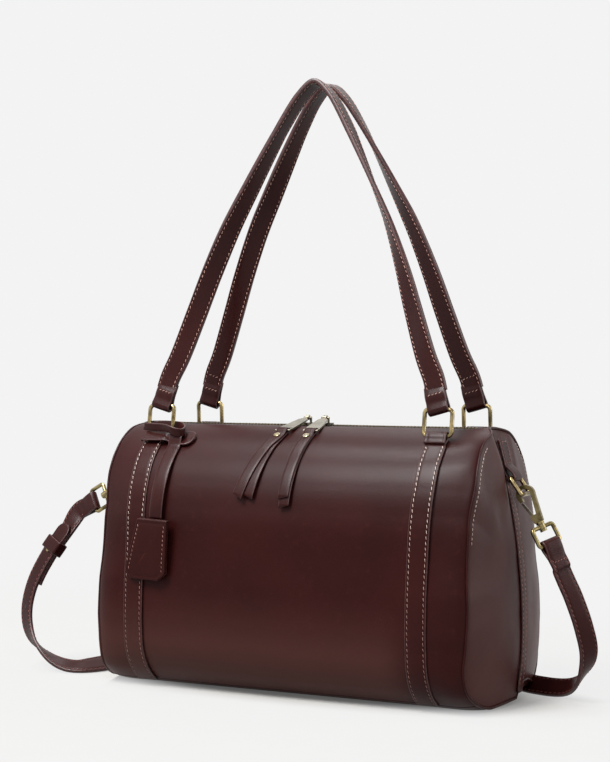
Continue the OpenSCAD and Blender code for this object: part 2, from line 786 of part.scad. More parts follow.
module snap_hook() {
    nose_r = hook_in + hook_t;
    mid = nose_r - hook_play - wire_r - hook_t;
    waist = hook_t * 0.75;
    pivot_z = -hook_l * gate_pivot_share;
    tip_z = -hook_l * gate_tip_share;
    nose_z = hook_play + wire_r - hook_in;
    color(brass) difference() {
        union() {
            along_y(hook_t) difference() {
                union() {
                    translate([0, nose_z]) circle(r = nose_r);
                    polygon([[-nose_r * 0.99, nose_z], [nose_r * 0.99, nose_z], [waist * 1.5, -hook_l],
                        [-waist * 1.5, -hook_l]]);
                }
                translate([0, nose_z]) circle(r = hook_in);
                polygon([[-hook_in * 0.97, nose_z], [hook_in * 0.97, nose_z], [waist * 0.4, pivot_z + waist * 0.8],
                    [-waist * 1.2, pivot_z + waist * 0.8]]);
                polygon([[-2 * nose_r, tip_z], [-hook_in * 0.5, tip_z], [-waist * 0.4, pivot_z + waist * 0.7],
                    [-waist * 0.6, pivot_z - waist * 0.8], [-2 * nose_r, pivot_z - waist * 0.8]]);
            }
            translate([0, 0, -hook_l - stem_d * 0.6]) cylinder(h = stem_d * 0.6 + eps, r = stem_d);
            translate([-waist, 0, pivot_z]) rotate([90, 0, 0])
                cylinder(h = hook_t, r = waist, center = true, $fn = 32);
        }
        gate_room();
    }
    color(brass) {
        translate([-waist, 0, pivot_z]) rotate([90, 0, 0])
            cylinder(h = hook_t * 1.1, r = waist * 0.35, center = true, $fn = 32);
        stem();
    }
}

module stem() {
    // Stem through the swivel ring, with a head that holds it
    z0 = -hook_l - stem_d * 0.6;
    collar = wire_d * 1.25;
    translate([0, 0, z0 - collar]) cylinder(h = collar + eps, r = stem_d / 2, $fn = 32);
    translate([0, 0, z0 - collar - stem_d * 0.5]) cylinder(h = stem_d * 0.5, r = stem_d * 0.85, $fn = 32);
}

module gate_room() {
    // Slot across the waist of the hook for the gate to turn in
    waist = hook_t * 0.75;
    translate([-waist, 0, -hook_l * gate_pivot_share]) rotate([90, 0, 0])
        cylinder(h = hook_t * 0.4 + 2 * gap / 3, r = waist * 1.5, center = true, $fn = 32);
}

module hook_gate() {
    // Thin sprung bar from the waist up to the nose
    waist = hook_t * 0.75;
    leaf = hook_t * 0.4;
    pivot_z = -hook_l * gate_pivot_share;
    tip_z = -hook_l * gate_tip_share - 2.2 * gap;
    tip_x0 = -hook_in - hook_t * 0.75;
    color(old_brass) difference() {
        along_y(leaf) {
            translate([-waist, pivot_z]) circle(r = waist * 0.82);
            polygon([[-waist * 1.5, pivot_z], [tip_x0, tip_z], [tip_x0 + hook_t * 0.6, tip_z],
                [-waist * 0.6, pivot_z + waist * 0.5]]);
        }
        translate([-waist, 0, pivot_z]) rotate([90, 0, 0])
            cylinder(h = 2 * hook_t, r = waist * 0.35 + fit, center = true, $fn = 32);
    }
}

module swivel_ring() {
    // Upper bar carries a collar that the stem turns in; the strap folds round the lower bar
    top = -hook_l - stem_d * 0.6 - wire_d * 0.6 - gap / 3;
    color(brass) difference() {
        union() {
            translate([0, 0, top]) rotate([0, 180, 90]) wire_ring(swivel_w, swivel_h, wire_d, swivel_h / 6);
            translate([0, 0, top]) cylinder(h = wire_d * 1.1, r = stem_d * 0.95, center = true);
        }
        translate([0, 0, top]) cylinder(h = 2 * wire_d, r = stem_d / 2 + fit, center = true);
    }
}

swivel_top = hook_l + stem_d * 0.6 + wire_d * 0.6 + gap / 3;
function hook_point(side, ring_lean, hook_lean, down) = [
    side * (d_bar_x + d_ring_h * sin(ring_lean) + down * sin(hook_lean)), 0,
    d_ring_z - d_ring_h * cos(ring_lean) - down * cos(hook_lean)];
right_end = hook_point(1, right_lean, right_hook_lean, swivel_top + swivel_h);
left_end = hook_point(-1, left_lean, left_hook_lean, swivel_top + swivel_h);
right_dir = [sin(right_hook_lean), 0, -cos(right_hook_lean)];
left_dir = [-sin(left_hook_lean), 0, -cos(left_hook_lean)];
right_bar = [sin(right_swivel) * cos(right_hook_lean), cos(right_swivel),
    sin(right_swivel) * sin(right_hook_lean)];
left_bar = [sin(left_swivel) * cos(left_hook_lean), -cos(left_swivel),
    -sin(left_swivel) * sin(left_hook_lean)];

// Strap route from the left hook to the right. Each row holds X as a share of half the reach,
// Y as a share of half the body width, Z as a share of the end ring height, and then
// the direction across the strap. Rows with zero height lie on the floor.
half_out = body_l / 2 + strap_out;
left_shares = [[-0.911, -0.106, 0.66, 0.6, -0.45, -0.6], [-0.956, -0.212, 0.538, 0.74, -0.45, -0.42],
    [-0.988, -0.318, 0.404, 0.86, -0.45, -0.2], [-0.996, -0.397, 0.269, 0.89, -0.44, 0.05],
    [-0.968, -0.477, 0.153, 0.78, -0.4, 0.42], [-0.903, -0.543, 0.07, 0.5, -0.3, 0.8],
    [-0.827, -0.556, 0, 0.1, -0.15, 1], [-0.758, -0.437, 0, 0, 0, 1], [-0.71, -0.106, 0, 0, 0, 1],
    [-0.694, 0.397, 0, 0, 0, 1], [-0.677, 1, 0, 0, 0, 1]];
// Behind the body Y is a share of the reach behind it
back_shares = [[-0.605, 0.47], [-0.423, 0.85], [-0.161, 1], [0.141, 0.9], [0.383, 0.57], [0.556, 0.19]];
right_shares = [[0.637, 0.874, 0, 0, 0, 1], [0.694, 0.609, 0, 0, 0.1, 1],
    [0.758, 0.437, 0.04, 0.15, 0.25, 0.95], [0.815, 0.278, 0.116, 0.4, 0.6, 0.7],
    [0.843, 0.159, 0.226, 0.55, 0.75, 0.35], [0.839, 0.079, 0.355, 0.58, 0.78, 0.2],
    [0.819, 0.04, 0.477, 0.55, 0.8, 0.24], [0.79, 0.013, 0.593, 0.5, 0.83, 0.26]];
route_end = 0.55 * strap_fold;

function route_points(rows) = [for (r = rows) [r[0] * half_out, r[1] * barrel_r, r[2] * d_ring_z]];
function route_sides(rows) = [for (r = rows) unit([r[3], r[4], r[5]])];
back_points = [for (r = back_shares) [r[0] * half_out, barrel_r + r[1] * strap_back, 0]];
rough = spline(concat([left_end + route_end * left_dir, left_end + strap_fold * left_dir],
    route_points(left_shares), back_points, route_points(right_shares),
    [right_end + strap_fold * right_dir, right_end + route_end * right_dir]), 5);
rough_sides = spline(concat([left_bar, left_bar], route_sides(left_shares),
    [for (p = back_points) [0, 0, 1]], route_sides(right_shares), [right_bar, right_bar]), 5);
route = [for (i = [0:len(rough) - 1]) let (w = unit(rough_sides[i]),
    rise = strap_w / 2 * abs(w[2]) + strap_t / 2 * sqrt(1 - w[2] * w[2]) + gap / 3)
    [rough[i][0], rough[i][1], max(rough[i][2], rise)]];
sides = [for (i = [0:len(route) - 1]) across(rough_sides[i], tangent(route, i))];
lengths = [for (i = 0, sum = route_end; i < len(route);
    sum = sum + (i + 1 < len(route) ? norm(route[i + 1] - route[i]) : 0), i = i + 1) sum];
function index_at(length) = len([for (l = lengths) if (l < length) 1]);
function outer_at(i) = cross(tangent(route, i), sides[i]);
lap = strap_t + gap / 2;

module in_frame(p, w, t) {
    // Puts X along w and Z along t
    b = acos(t[2]);
    c = atan2(t[1], t[0]);
    x = [cos(b) * cos(c), cos(b) * sin(c), -sin(b)];
    y = [-sin(c), cos(c), 0];
    translate(p) rotate([0, b, c]) rotate([0, 0, atan2(w * y, w * x)]) children();
}

module on_route(i) {
    in_frame(route[i], sides[i], tangent(route, i)) children();
}

module strap_hole(i) {
    on_route(i) rotate([90, 0, 0]) cylinder(h = 8 * strap_t, r = hole_d / 2, center = true, $fn = 32);
}

module strap_end() {
    // Fold round the lower bar of a swivel ring, in the ring's frame
    fold_t = 0.7 * strap_t;
    translate([0, 0, -swivel_top - swivel_h]) difference() {
        along_y(strap_w + 2 * fit) {
            circle(r = loop_in + fold_t);
            translate([-strap_t / 2 - fold_t, -strap_fold]) square([strap_t + fold_t + fit, strap_fold]);
        }
        rotate([90, 0, 0]) cylinder(h = 2 * strap_w, r = loop_in, center = true);
    }
}

module shoulder_strap() {
    first = index_at(strap_tip);
    last = len(route) - 1;
    points = [for (i = [first:last]) route[i]
        + outer_at(i) * lap * (1 - smooth((lengths[i] - hook_strap_l) / hook_strap_l))];
    shares = [for (i = [first:last]) let (past = (lengths[i] - lengths[first]) / strap_w * 2)
        past < 1 ? max(sqrt(1 - pow(1 - past, 2)), 0.4) : 1];
    color(burgundy) {
        difference() {
            ribbon(points, [for (i = [first:last]) sides[i]], shares, strap_w, strap_t);
            strap_hole(index_at(stud_at));
            for (k = [0, 1]) strap_hole(index_at(first_hole + k * hole_pitch));
        }
        hook_place(right_lean, right_hook_lean) rotate([0, 0, -right_swivel]) strap_end();
    }
}

module hook_strap() {
    last = index_at(hook_strap_l);
    color(burgundy) {
        difference() {
            ribbon([for (i = [0:last]) route[i]], [for (i = [0:last]) sides[i]], [for (i = [0:last]) 1],
                strap_w, strap_t);
            strap_hole(index_at(stud_at));
        }
        mirror([1, 0, 0]) hook_place(left_lean, left_hook_lean) rotate([0, 0, -left_swivel]) strap_end();
    }
}

module strap_stud() {
    // Double-headed stud through both layers, hidden by the keeper
    head = 0.3 * strap_t;
    color(brass) on_route(index_at(stud_at)) rotate([-90, 0, 0]) {
        translate([0, 0, -strap_t / 2 - head - gap / 2]) cylinder(h = head, r = hole_d);
        translate([0, 0, -strap_t / 2 - head / 2 - gap / 2])
            cylinder(h = strap_t + lap + head + gap, r = hole_d / 2 - fit);
        translate([0, 0, strap_t / 2 + lap + gap / 2]) cylinder(h = head, r = hole_d);
    }
}

module strap_keeper() {
    high = strap_t + lap + 2 * (0.3 * strap_t + 1.5 * gap);
    wide = strap_w + 5 * gap;
    color(burgundy) on_route(index_at(stud_at)) translate([0, lap / 2, 0]) difference() {
        cube([wide + 2 * keeper_t, high + 2 * keeper_t, keeper_l], center = true);
        cube([wide, high, 2 * keeper_l], center = true);
    }
}

// Hanging tag: a loop round the front left ring, a pivot beside it, the tag strap and the tag
tag_x = -ring_x + tag_in;
pivot_s = tab_run + loop_t;
pivot_r = 0.85 * loop_t;
fold_bore = pivot_r + bar_gap / 2;
pivot_y = bar_y - pivot_s * cos(ring_angle);
pivot_z = bar_z - pivot_s * sin(ring_angle);
tag_y = -barrel_r - band_t - gap - tag_t / 2;

module at_ring_base() {
    // X along the ring bar, Y down the slope of the barrel, Z out of the barrel
    translate([-ring_x, bar_y, bar_z]) rotate([ring_angle, 0, 0]) mirror([0, 1, 0]) children();
}

module tag_loop() {
    half = ring_w / 2 + gap;
    back = loop_r + gap;
    front = pivot_s - loop_t / 2;
    color(burgundy) difference() {
        union() {
            at_ring_base() translate([0, 0, -loop_r - gap]) linear_extrude(loop_w) difference() {
                translate([-half - loop_t, -back - loop_t])
                    square([2 * half + 2 * loop_t, back + front + 2 * loop_t]);
                translate([-half, -back]) square([2 * half, back + front]);
            }
            translate([tag_x - tag_strap_w / 2 - gap - loop_t, pivot_y, pivot_z]) rotate([0, 90, 0])
                cylinder(h = tag_strap_w + 2 * gap + 2 * loop_t, r = pivot_r);
            head_at() cylinder(h = loop_t, r = head_w / 2, center = true);
            head_at() translate([-head_w / 2, -head_w / 2, -loop_t / 2])
                cube([head_w / 2, head_w, loop_t]);
        }
        along_x(4 * body_l) section(-band_t);
    }
}

module head_at() {
    // Rounded head lying along the loop's front side
    at_ring_base() translate([tag_in + tag_strap_w / 2 + gap + head_w / 2, pivot_s, 0])
        rotate([90, 0, 0]) children();
}

module tag_strap() {
    // Folded over the pivot, then down the barrel into the tag, as (Y, Z)
    a0 = atan2(-pivot_y, pivot_z - axis_z);
    a1 = a0 + tag_drop / barrel_r * 180 / PI;
    inner = barrel_r + gap;
    outer = inner + tag_strap_t;
    fold = fold_bore + tag_strap_t * 0.6;
    far = 2 * body_h;
    color(burgundy) translate([tag_x, 0, 0]) along_x(tag_strap_w) difference() {
        union() {
            translate([pivot_y, pivot_z]) circle(r = fold);
            difference() {
                union() {
                    translate([0, axis_z]) circle(r = outer, $fn = curve_fn);
                    polygon([polar(a0, norm([pivot_y, pivot_z - axis_z]) + fold * 0.9),
                        polar(a0 + 8, outer), polar(a0 + 8, inner), polar(a0, inner)]);
                }
                translate([0, axis_z]) circle(r = inner, $fn = curve_fn);
                translate([0, axis_z]) polygon([[0, 0], [-far * sin(a0), far * cos(a0)], [0, far],
                    [far, far], [far, -far], [-far, -far], [-far * sin(a1), far * cos(a1)]]);
            }
        }
        translate([pivot_y, pivot_z]) circle(r = fold_bore);
    }
}

module hanging_tag() {
    // Two stitched leather faces round the end of the strap, corners cut below
    top = axis_z - barrel_r * sin(tag_tilt_a) + tag_strap_t;
    cut = tag_w / 6;
    color(burgundy) difference() {
        translate([tag_x, tag_y, top]) rotate([0, tag_lean, 0]) along_y(tag_t) polygon([
            [-tag_top_w / 2, 0], [tag_top_w / 2, 0], [tag_w / 2, -tag_h + cut], [tag_w / 2 - cut, -tag_h],
            [-tag_w / 2 + cut, -tag_h], [-tag_w / 2, -tag_h + cut]]);
        translate([tag_x, 0, 0]) along_x(tag_strap_w + 2 * eps) translate([0, axis_z]) difference() {
            circle(r = barrel_r + gap + tag_strap_t, $fn = curve_fn);
            translate([-body_w, -body_w - tag_strap_w / 2]) square([2 * body_w, body_w]);
        }
    }
}
tag_tilt_a = 0;
tag_lean = 8;

module right_swivel_ring() {
    hook_place(right_lean, right_hook_lean) rotate([0, 0, -right_swivel]) swivel_ring();
}

module left_swivel_ring() {
    mirror([1, 0, 0]) hook_place(left_lean, left_hook_lean) rotate([0, 0, -left_swivel]) swivel_ring();
}

front_panel();
back_panel();
base_panel();
rotate([0, 0, 180]) gusset(1);  // left_front_gusset
rotate([0, 0, 180]) gusset(-1);  // left_rear_gusset
gusset(-1);  // right_front_gusset
gusset(1);  // right_rear_gusset
mirror([1, 0, 0]) end_cover();  // left_end_cover
end_cover();  // right_end_cover
mirror([1, 0, 0]) end_welt();  // left_end_welt
end_welt();  // right_end_welt
lining();
base_board();
zip_tape();  // front_zip_tape
mirror([0, 1, 0]) zip_tape();  // rear_zip_tape
front_zip_teeth();
rear_zip_teeth();
band(-ring_x);  // front_left_band
band(ring_x);  // front_right_band
mirror([0, 1, 0]) band(-ring_x);  // rear_left_band
mirror([0, 1, 0]) band(ring_x);  // rear_right_band
mirror([1, 0, 0]) end_tab();  // left_end_tab
end_tab();  // right_end_tab
mirror([1, 0, 0]) slider();  // left_slider
slider();  // right_slider
mirror([1, 0, 0]) pull_plate();  // left_pull_plate
pull_plate();  // right_pull_plate
mirror([1, 0, 0]) pull_leather(left_drift_share);  // left_pull_leather
pull_leather(right_drift_share);  // right_pull_leather
mirror([1, 0, 0]) pull_rivet(left_drift_share);  // left_pull_rivet
pull_rivet(right_drift_share);  // right_pull_rivet
handle_ring(-ring_x);  // front_left_ring
handle_ring(ring_x);  // front_right_ring
rear_ring(-ring_x);  // rear_left_ring
rear_ring(ring_x);  // rear_right_ring
front_handle();
rear_handle();
tag_loop();
tag_strap();
hanging_tag();
mirror([1, 0, 0]) end_ring(left_lean);  // left_end_ring
end_ring(right_lean);  // right_end_ring
mirror([1, 0, 0]) hook_place(left_lean, left_hook_lean) snap_hook();  // left_snap_hook
hook_place(right_lean, right_hook_lean) snap_hook();  // right_snap_hook
mirror([1, 0, 0]) hook_place(left_lean, left_hook_lean) hook_gate();  // left_hook_gate
hook_place(right_lean, right_hook_lean) hook_gate();  // right_hook_gate
left_swivel_ring();
right_swivel_ring();
shoulder_strap();
hook_strap();
strap_stud();
strap_keeper();
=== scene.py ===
import bpy
from math import acos, atan2, cos, degrees, exp, hypot, pi, radians, sin, sqrt
from mathutils import Matrix, Vector, noise


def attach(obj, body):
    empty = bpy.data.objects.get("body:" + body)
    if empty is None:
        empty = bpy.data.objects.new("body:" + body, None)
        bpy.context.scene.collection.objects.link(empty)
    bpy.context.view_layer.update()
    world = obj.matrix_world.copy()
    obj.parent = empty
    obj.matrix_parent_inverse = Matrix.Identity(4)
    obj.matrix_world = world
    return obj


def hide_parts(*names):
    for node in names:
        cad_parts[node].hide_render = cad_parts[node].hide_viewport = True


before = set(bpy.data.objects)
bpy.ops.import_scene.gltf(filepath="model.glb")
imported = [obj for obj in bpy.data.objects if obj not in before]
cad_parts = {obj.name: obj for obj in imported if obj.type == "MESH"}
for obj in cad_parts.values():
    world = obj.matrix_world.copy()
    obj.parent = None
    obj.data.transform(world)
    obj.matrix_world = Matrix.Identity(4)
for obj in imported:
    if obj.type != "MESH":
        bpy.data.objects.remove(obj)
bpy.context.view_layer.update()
scene = bpy.context.scene
mm = 0.001  # everything below is drawn in millimetres
ends = ((-1, "left"), (1, "right"))  # along x
flanks = ((-1, "front"), (1, "rear"))  # across, along y


# Shader maths: wraps a socket, so a mask can be written as an expression

class Link:
    def __init__(self, tree, socket=None):
        self.tree = tree
        self.socket = socket

    def node(self, kind, settings=None, sockets=None, out=0):
        made = self.tree.nodes.new("ShaderNode" + kind)
        for key, value in (settings or {}).items():
            setattr(made, key, value)
        for key, value in (sockets or {}).items():
            if isinstance(value, Link):
                self.tree.links.new(value.socket, made.inputs[key])
            else:
                made.inputs[key].default_value = value
        return Link(self.tree, made.outputs[out] if made.outputs else None)

    def maths(self, operation, first, second=0.0):
        return self.node("Math", {"operation": operation}, {0: first, 1: second})

    def __add__(self, other): return self.maths("ADD", self, other)
    def __radd__(self, other): return self.maths("ADD", other, self)
    def __sub__(self, other): return self.maths("SUBTRACT", self, other)
    def __rsub__(self, other): return self.maths("SUBTRACT", other, self)
    def __mul__(self, other): return self.maths("MULTIPLY", self, other)
    def __rmul__(self, other): return self.maths("MULTIPLY", other, self)

    def between(self, low, high):  # 0 below low, 1 above high
        return self.node("MapRange", {"interpolation_type": "SMOOTHSTEP"}, {0: self, 1: low, 2: high})

    def mix(self, factor, first, second):  # colours, also as hex codes
        first, second = (rgb(c) if isinstance(c, str) else c for c in (first, second))
        return self.node("Mix", {"data_type": "RGBA"}, {0: factor, 6: first, 7: second}, 2)

    def place(self):  # object coordinates
        return self.node("TexCoord", out=3)

    def part(self, axis):
        return self.node("SeparateXYZ", None, {0: self}, axis)

    def scaled(self, factors):
        return self.node("VectorMath", {"operation": "MULTIPLY"}, {0: self, 1: factors})

    def noise(self, scale, detail=3.0, rough=0.5):
        return self.node("TexNoise", None, {"Vector": self, "Scale": scale, "Detail": detail, "Roughness": rough})

    def cells(self, scale):
        return self.node("TexVoronoi", None, {"Vector": self, "Scale": scale})

    def wave(self, direction, scale, distortion):
        return self.node("TexWave", {"bands_direction": direction},
                         {"Vector": self, "Scale": scale, "Distortion": distortion}, 1)

    def edges(self, low, high):  # worn where the surface stands out
        return self.node("NewGeometry", out="Pointiness").between(low, high)

    def bump(self, height, strength, distance):
        return self.node("Bump", None, {"Height": height, "Strength": strength, "Distance": distance})


def rgb(code):  # sRGB hex as a linear colour
    parts = [int(code[i:i + 2], 16) / 255 for i in (0, 2, 4)]
    return tuple(c / 12.92 if c <= 0.04045 else ((c + 0.055) / 1.055) ** 2.4 for c in parts) + (1.0,)


def newMaterial(name):
    made = bpy.data.materials.new(name)
    made.use_nodes = True
    made.node_tree.nodes.clear()
    return made, Link(made.node_tree)


def finishMaterial(made, graph, sockets):
    graph.node("OutputMaterial", None, {"Surface": graph.node("BsdfPrincipled", None, sockets)})
    made.diffuse_color = (0.2, 0.08, 0.08, 1)
    return made


# The foot is painted lighter, standing in for light from the floor, and the shoulder is glossier. The pairs are
# heights, except the one for the end, which is along x, in metres.
leatherLook = {
    "deep": "240807", "warm": "2a0a09", "rubbed": "48201b", "pit": "1c0808",
    "rough": 0.44, "coat": 0.02, "coatRough": 0.3, "specular": 0.085,
    "grain": 1150.0, "grainDepth": 0.00012, "cloud": 16.0, "mottle": 170.0, "creases": (60.0, 60.0, 210.0),
    "foot": 0.75, "footTone": "482c28", "footHeight": (0.012, 0.085), "footEnd": (0.085, 0.12),
    "shine": 0.07, "shineHeight": (0.112, 0.145),
}


def leather(name, changes=None):
    look = dict(leatherLook, **(changes or {}))
    made, graph = newMaterial(name)
    place = graph.place()
    pebble = place.cells(look["grain"])
    pores = place.noise(look["grain"] * 1.7, 4.0, 0.6)
    cloud = place.noise(look["cloud"], 4.0, 0.55)
    mottle = place.noise(look["mottle"], 3.0, 0.6)
    creases = place.scaled(look["creases"]).noise(1.0)
    # Painted floor light: the colour is lighter near the bottom everywhere except towards the right end, standing in
    # for light from the floor
    foot = (1.0 - place.part(2).between(*look["footHeight"])) * (1.0 - place.part(0).between(*look["footEnd"]))
    colour = graph.mix(cloud.between(0.3, 0.72), look["deep"], look["warm"])
    colour = graph.mix(mottle.between(0.56, 0.8) * 0.16, colour, look["rubbed"])
    colour = graph.mix((1.0 - pebble.between(0.08, 0.5)) * 0.14, colour, look["pit"])
    colour = graph.mix(graph.edges(0.52, 0.6) * mottle.between(0.3, 0.6) * 0.5, colour, look["rubbed"])
    colour = graph.mix(foot * look["foot"], colour, look["footTone"])
    height = pebble.between(0.0, 0.6) * 0.6 + pores * 0.45 + creases.between(0.5, 0.75) * 0.5
    return finishMaterial(made, graph, {
        "Base Color": colour, "Specular IOR Level": look["specular"],
        "Roughness": look["rough"] + (cloud - 0.5) * 0.1 + (mottle - 0.5) * 0.1,
        "Coat Weight": look["coat"] + place.part(2).between(*look["shineHeight"]) * look["shine"],
        "Coat Roughness": look["coatRough"], "Normal": graph.bump(height, 0.5, look["grainDepth"])})


def edgePaint(name, dark, light):
    made, graph = newMaterial(name)
    streak = graph.place().noise(420.0, 3.0, 0.55)
    return finishMaterial(made, graph, {
        "Base Color": graph.mix(streak.between(0.35, 0.7), dark, light),
        "Roughness": 0.34 + streak * 0.14, "Specular IOR Level": 0.4, "Normal": graph.bump(streak, 0.3, 0.00012)})


def thread(name, light, dark, paintedShadeTone, paintedShadeHeight=(0.05, 0.19)):
    made, graph = newMaterial(name)
    place = graph.place()
    plies = place.wave("DIAGONAL", 620.0, 1.0)
    tone = place.noise(300.0, 2.0)
    # Painted shade: towards the bottom the thread is mixed into a darker tone, standing in for the shade on the lower
    # stitches
    paintedShade = 1.0 - place.part(2).between(*paintedShadeHeight)
    colour = graph.mix(tone.between(0.3, 0.7), dark, light)
    return finishMaterial(made, graph, {
        "Base Color": graph.mix(paintedShade * 0.85, colour, paintedShadeTone), "Roughness": 0.62 + tone * 0.1,
        "Specular IOR Level": 0.3, "Normal": graph.bump(plies, 0.5, 0.0001)})


def metal(name, light, dark, rough, grain=0.3):
    made, graph = newMaterial(name)
    place = graph.place()
    tarnish = place.noise(95.0, 4.0, 0.6)
    brushed = place.scaled((900.0, 900.0, 260.0)).noise(1.0, 3.0, 0.6)
    colour = graph.mix(tarnish.between(0.38, 0.66), light, dark)
    return finishMaterial(made, graph, {
        "Base Color": graph.mix(graph.edges(0.51, 0.58) * 0.5, colour, light),
        "Metallic": 1.0 - tarnish.between(0.55, 0.9) * 0.15,
        "Roughness": rough + (tarnish - 0.5) * 0.18 + (brushed - 0.5) * grain * 0.2,
        "Normal": graph.bump(brushed, grain * 0.4, 0.00006)})


def cloth(name, light, dark, scale):
    made, graph = newMaterial(name)
    place = graph.place()
    weave = place.wave("X", scale, 0.4) * place.wave("Y", scale, 0.4)
    tone = place.noise(60.0)
    return finishMaterial(made, graph, {
        "Base Color": graph.mix((weave + tone * 0.4).between(0.1, 1.0), dark, light),
        "Roughness": 0.85 - weave * 0.1, "Specular IOR Level": 0.2, "Sheen Weight": 0.15,
        "Normal": graph.bump(weave, 0.6, 0.0002)})


trimTone = {"deep": "240908", "warm": "2b0c0a", "grain": 1400.0}
bodyLeather = leather("body leather")
# The end panels are the body leather. Their lighter tone is painted light standing in for the light on the ends,
# while the higher specular is their own
endLeather = leather("end panel leather", {
    "deep": "30120e", "warm": "391712", "rough": 0.46, "specular": 0.16, "foot": 0.0})
trimLeather = leather("trim leather", dict(trimTone, rough=0.38, coat=0.04))
strapLeather = leather("strap leather", dict(trimTone, rough=0.34, coat=0.08, foot=0.0))
paintedEdge = edgePaint("painted edge", "260d0d", "411e1b")
# Painted shade standing in for the hollow of each strap hole
paintedHoleShade = edgePaint("painted hole shade", "0d0505", "1a0a09")
paleThread = thread("pale thread", "f6e9de", "d9bcae", "6a3c36")
endThread = thread("end thread", "c09a8e", "93695f", "9a6c62")
softThread = thread("rose thread", "9c6e66", "774a44", "6a3e38")
ringBrass = metal("aged brass", "a6946c", "5e5032", 0.26)
hookBrass = metal("hook brass", "93855f", "544a2f", 0.3)
sliderBronze = metal("slider bronze", "857d6c", "3f3931", 0.26)
pullNickel = metal("pull plate nickel", "8f8878", "57524a", 0.3, 0.6)
rivetBrass = metal("rivet brass", "c9bea3", "91805f", 0.25)
toothBrass = metal("tooth brass", "9c8c6c", "3c3024", 0.3)
tapeCloth = cloth("zip tape", "2c1414", "120707", 900.0)
liningCloth = cloth("lining cloth", "3a2622", "1d110f", 700.0)
boardCloth = cloth("board cover", "3d2a25", "221512", 500.0)
print("materials made")


# Mesh helpers: a shape is (points, faces, kinds), where kind 1 is a painted edge

def ramp(x, start, end):  # smooth step from 0 at start to 1 at end
    t = max(0.0, min(1.0, (x - start) / (end - start)))
    return t * t * (3 - 2 * t)


def lookUp(rows, x):
    if x <= rows[0][0]:
        return rows[0][1]
    for (a, u), (b, v) in zip(rows, rows[1:]):
        if x <= b:
            return u + (v - u) * (x - a) / (b - a)
    return rows[-1][1]


def soften(rows, x, reach=7.0):
    return (lookUp(rows, x - reach) + 2 * lookUp(rows, x) + lookUp(rows, x + reach)) / 4


def addPiece(name, shape, materials, body, node=None, parent=None):
    points, faces, kinds = shape[:3]
    mesh = bpy.data.meshes.new(name)
    mesh.from_pydata([tuple(c * mm for c in p) for p in points], [], faces)
    for material in materials:
        mesh.materials.append(material)
    if kinds:
        mesh.polygons.foreach_set("material_index", kinds)
    mesh.polygons.foreach_set("use_smooth", [True] * len(mesh.polygons))
    mesh.validate()
    mesh.update()
    piece = bpy.data.objects.new(name, mesh)
    scene.collection.objects.link(piece)
    if parent:
        piece.parent = parent
    else:
        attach(piece, body)
    if node:
        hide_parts(node)
    return piece


def addLeather(name, shape, look, body, node):
    return addPiece(name, shape, [look, paintedEdge], body, node)


def merged(shapes):
    points, faces, kinds = [], [], []
    for shape in shapes:
        base = len(points)
        points += shape[0]
        faces += [[i + base for i in face] for face in shape[1]]
        kinds += shape[2]
    return points, faces, kinds


def sew(name, rows, material, parent):
    return addPiece(name, merged(rows), [material], None, parent=parent)


def gridFaces(rows, columns, start=0, flip=False, close=False):
    faces = []
    for i in range(rows - 1):
        for j in range(columns if close else columns - 1):
            k = (j + 1) % columns
            quad = [start + i * columns + j, start + i * columns + k,
                    start + (i + 1) * columns + k, start + (i + 1) * columns + j]
            faces.append(quad[::-1] if flip else quad)
    return faces


def slab(outer, inner, flip=False):
    # A closed sheet from an outer and an inner grid; its rim is painted
    rows, columns = len(outer), len(outer[0])
    size = rows * columns
    points = [p for row in outer for p in row] + [p for row in inner for p in row]
    faces = gridFaces(rows, columns, 0, flip) + gridFaces(rows, columns, size, not flip)
    kinds = [0] * len(faces)
    rim = [i * columns for i in range(rows)] + [(rows - 1) * columns + j for j in range(1, columns)]
    rim += [i * columns + columns - 1 for i in range(rows - 2, -1, -1)] + list(range(columns - 2, 0, -1))
    for a, b in zip(rim, rim[1:] + rim[:1]):
        quad = [a, b, b + size, a + size]
        faces.append(quad[::-1] if flip else quad)
        kinds.append(1)
    return points, faces, kinds


def spline(points, count):
    made = []
    last = len(points) - 1
    for i in range(last):
        a, b, c, d = (Vector(points[max(0, min(last, i + k))]) for k in (-1, 0, 1, 2))
        for k in range(count):
            t = k / count
            made.append(0.5 * (2 * b + (c - a) * t + (2 * a - 5 * b + 4 * c - d) * t * t
                               + (3 * b - a - 3 * c + d) * t ** 3))
    made.append(Vector(points[-1]))
    return made


def heading(path, i):
    return (path[min(i + 1, len(path) - 1)] - path[max(i - 1, 0)]).normalized()


def square(side, ahead):
    return (side - ahead * side.dot(ahead)).normalized()


def arcLengths(path):
    lengths = [0.0]
    for a, b in zip(path, path[1:]):
        lengths.append(lengths[-1] + (b - a).length)
    return lengths


def along(path, lengths, s):
    if s <= 0:
        return path[0]
    for i in range(len(lengths) - 1):
        if s <= lengths[i + 1]:
            f = (s - lengths[i]) / max(1e-9, lengths[i + 1] - lengths[i])
            return path[i].lerp(path[i + 1], f)
    return path[-1]


def rounded(share):  # half width of a round tip, share of its radius past the end
    return sqrt(max(0.0, 1 - (1 - share) ** 2)) if share < 1 else 1.0


def edgeDrop(distance, r):  # how far a rolled edge lies below the surface
    return 0.0 if distance >= r else r - sqrt(max(0.0, r * r - (r - distance) ** 2))


def bell(x, middle, width):
    return exp(-((x - middle) / width) ** 2)


def spread(low, high, count, near=()):  # even steps, closer at both ends
    inner = [low + (high - low) * i / count for i in range(count + 1)]
    return sorted(set(round(v, 3) for v in inner + [low + d for d in near] + [high - d for d in near]))


def arc(radius, start, step, count, centre=(0.0, 0.0)):  # angles in degrees
    turns = [radians(start + step * k) for k in range(count)]
    return [(centre[0] + radius * cos(a), centre[1] + radius * sin(a)) for a in turns]


stripRound = {"edge": 0.8, "share": 0.85, "groove": 0.22, "grooveWidth": 0.5, "beside": 0.8, "middle": 0.45}


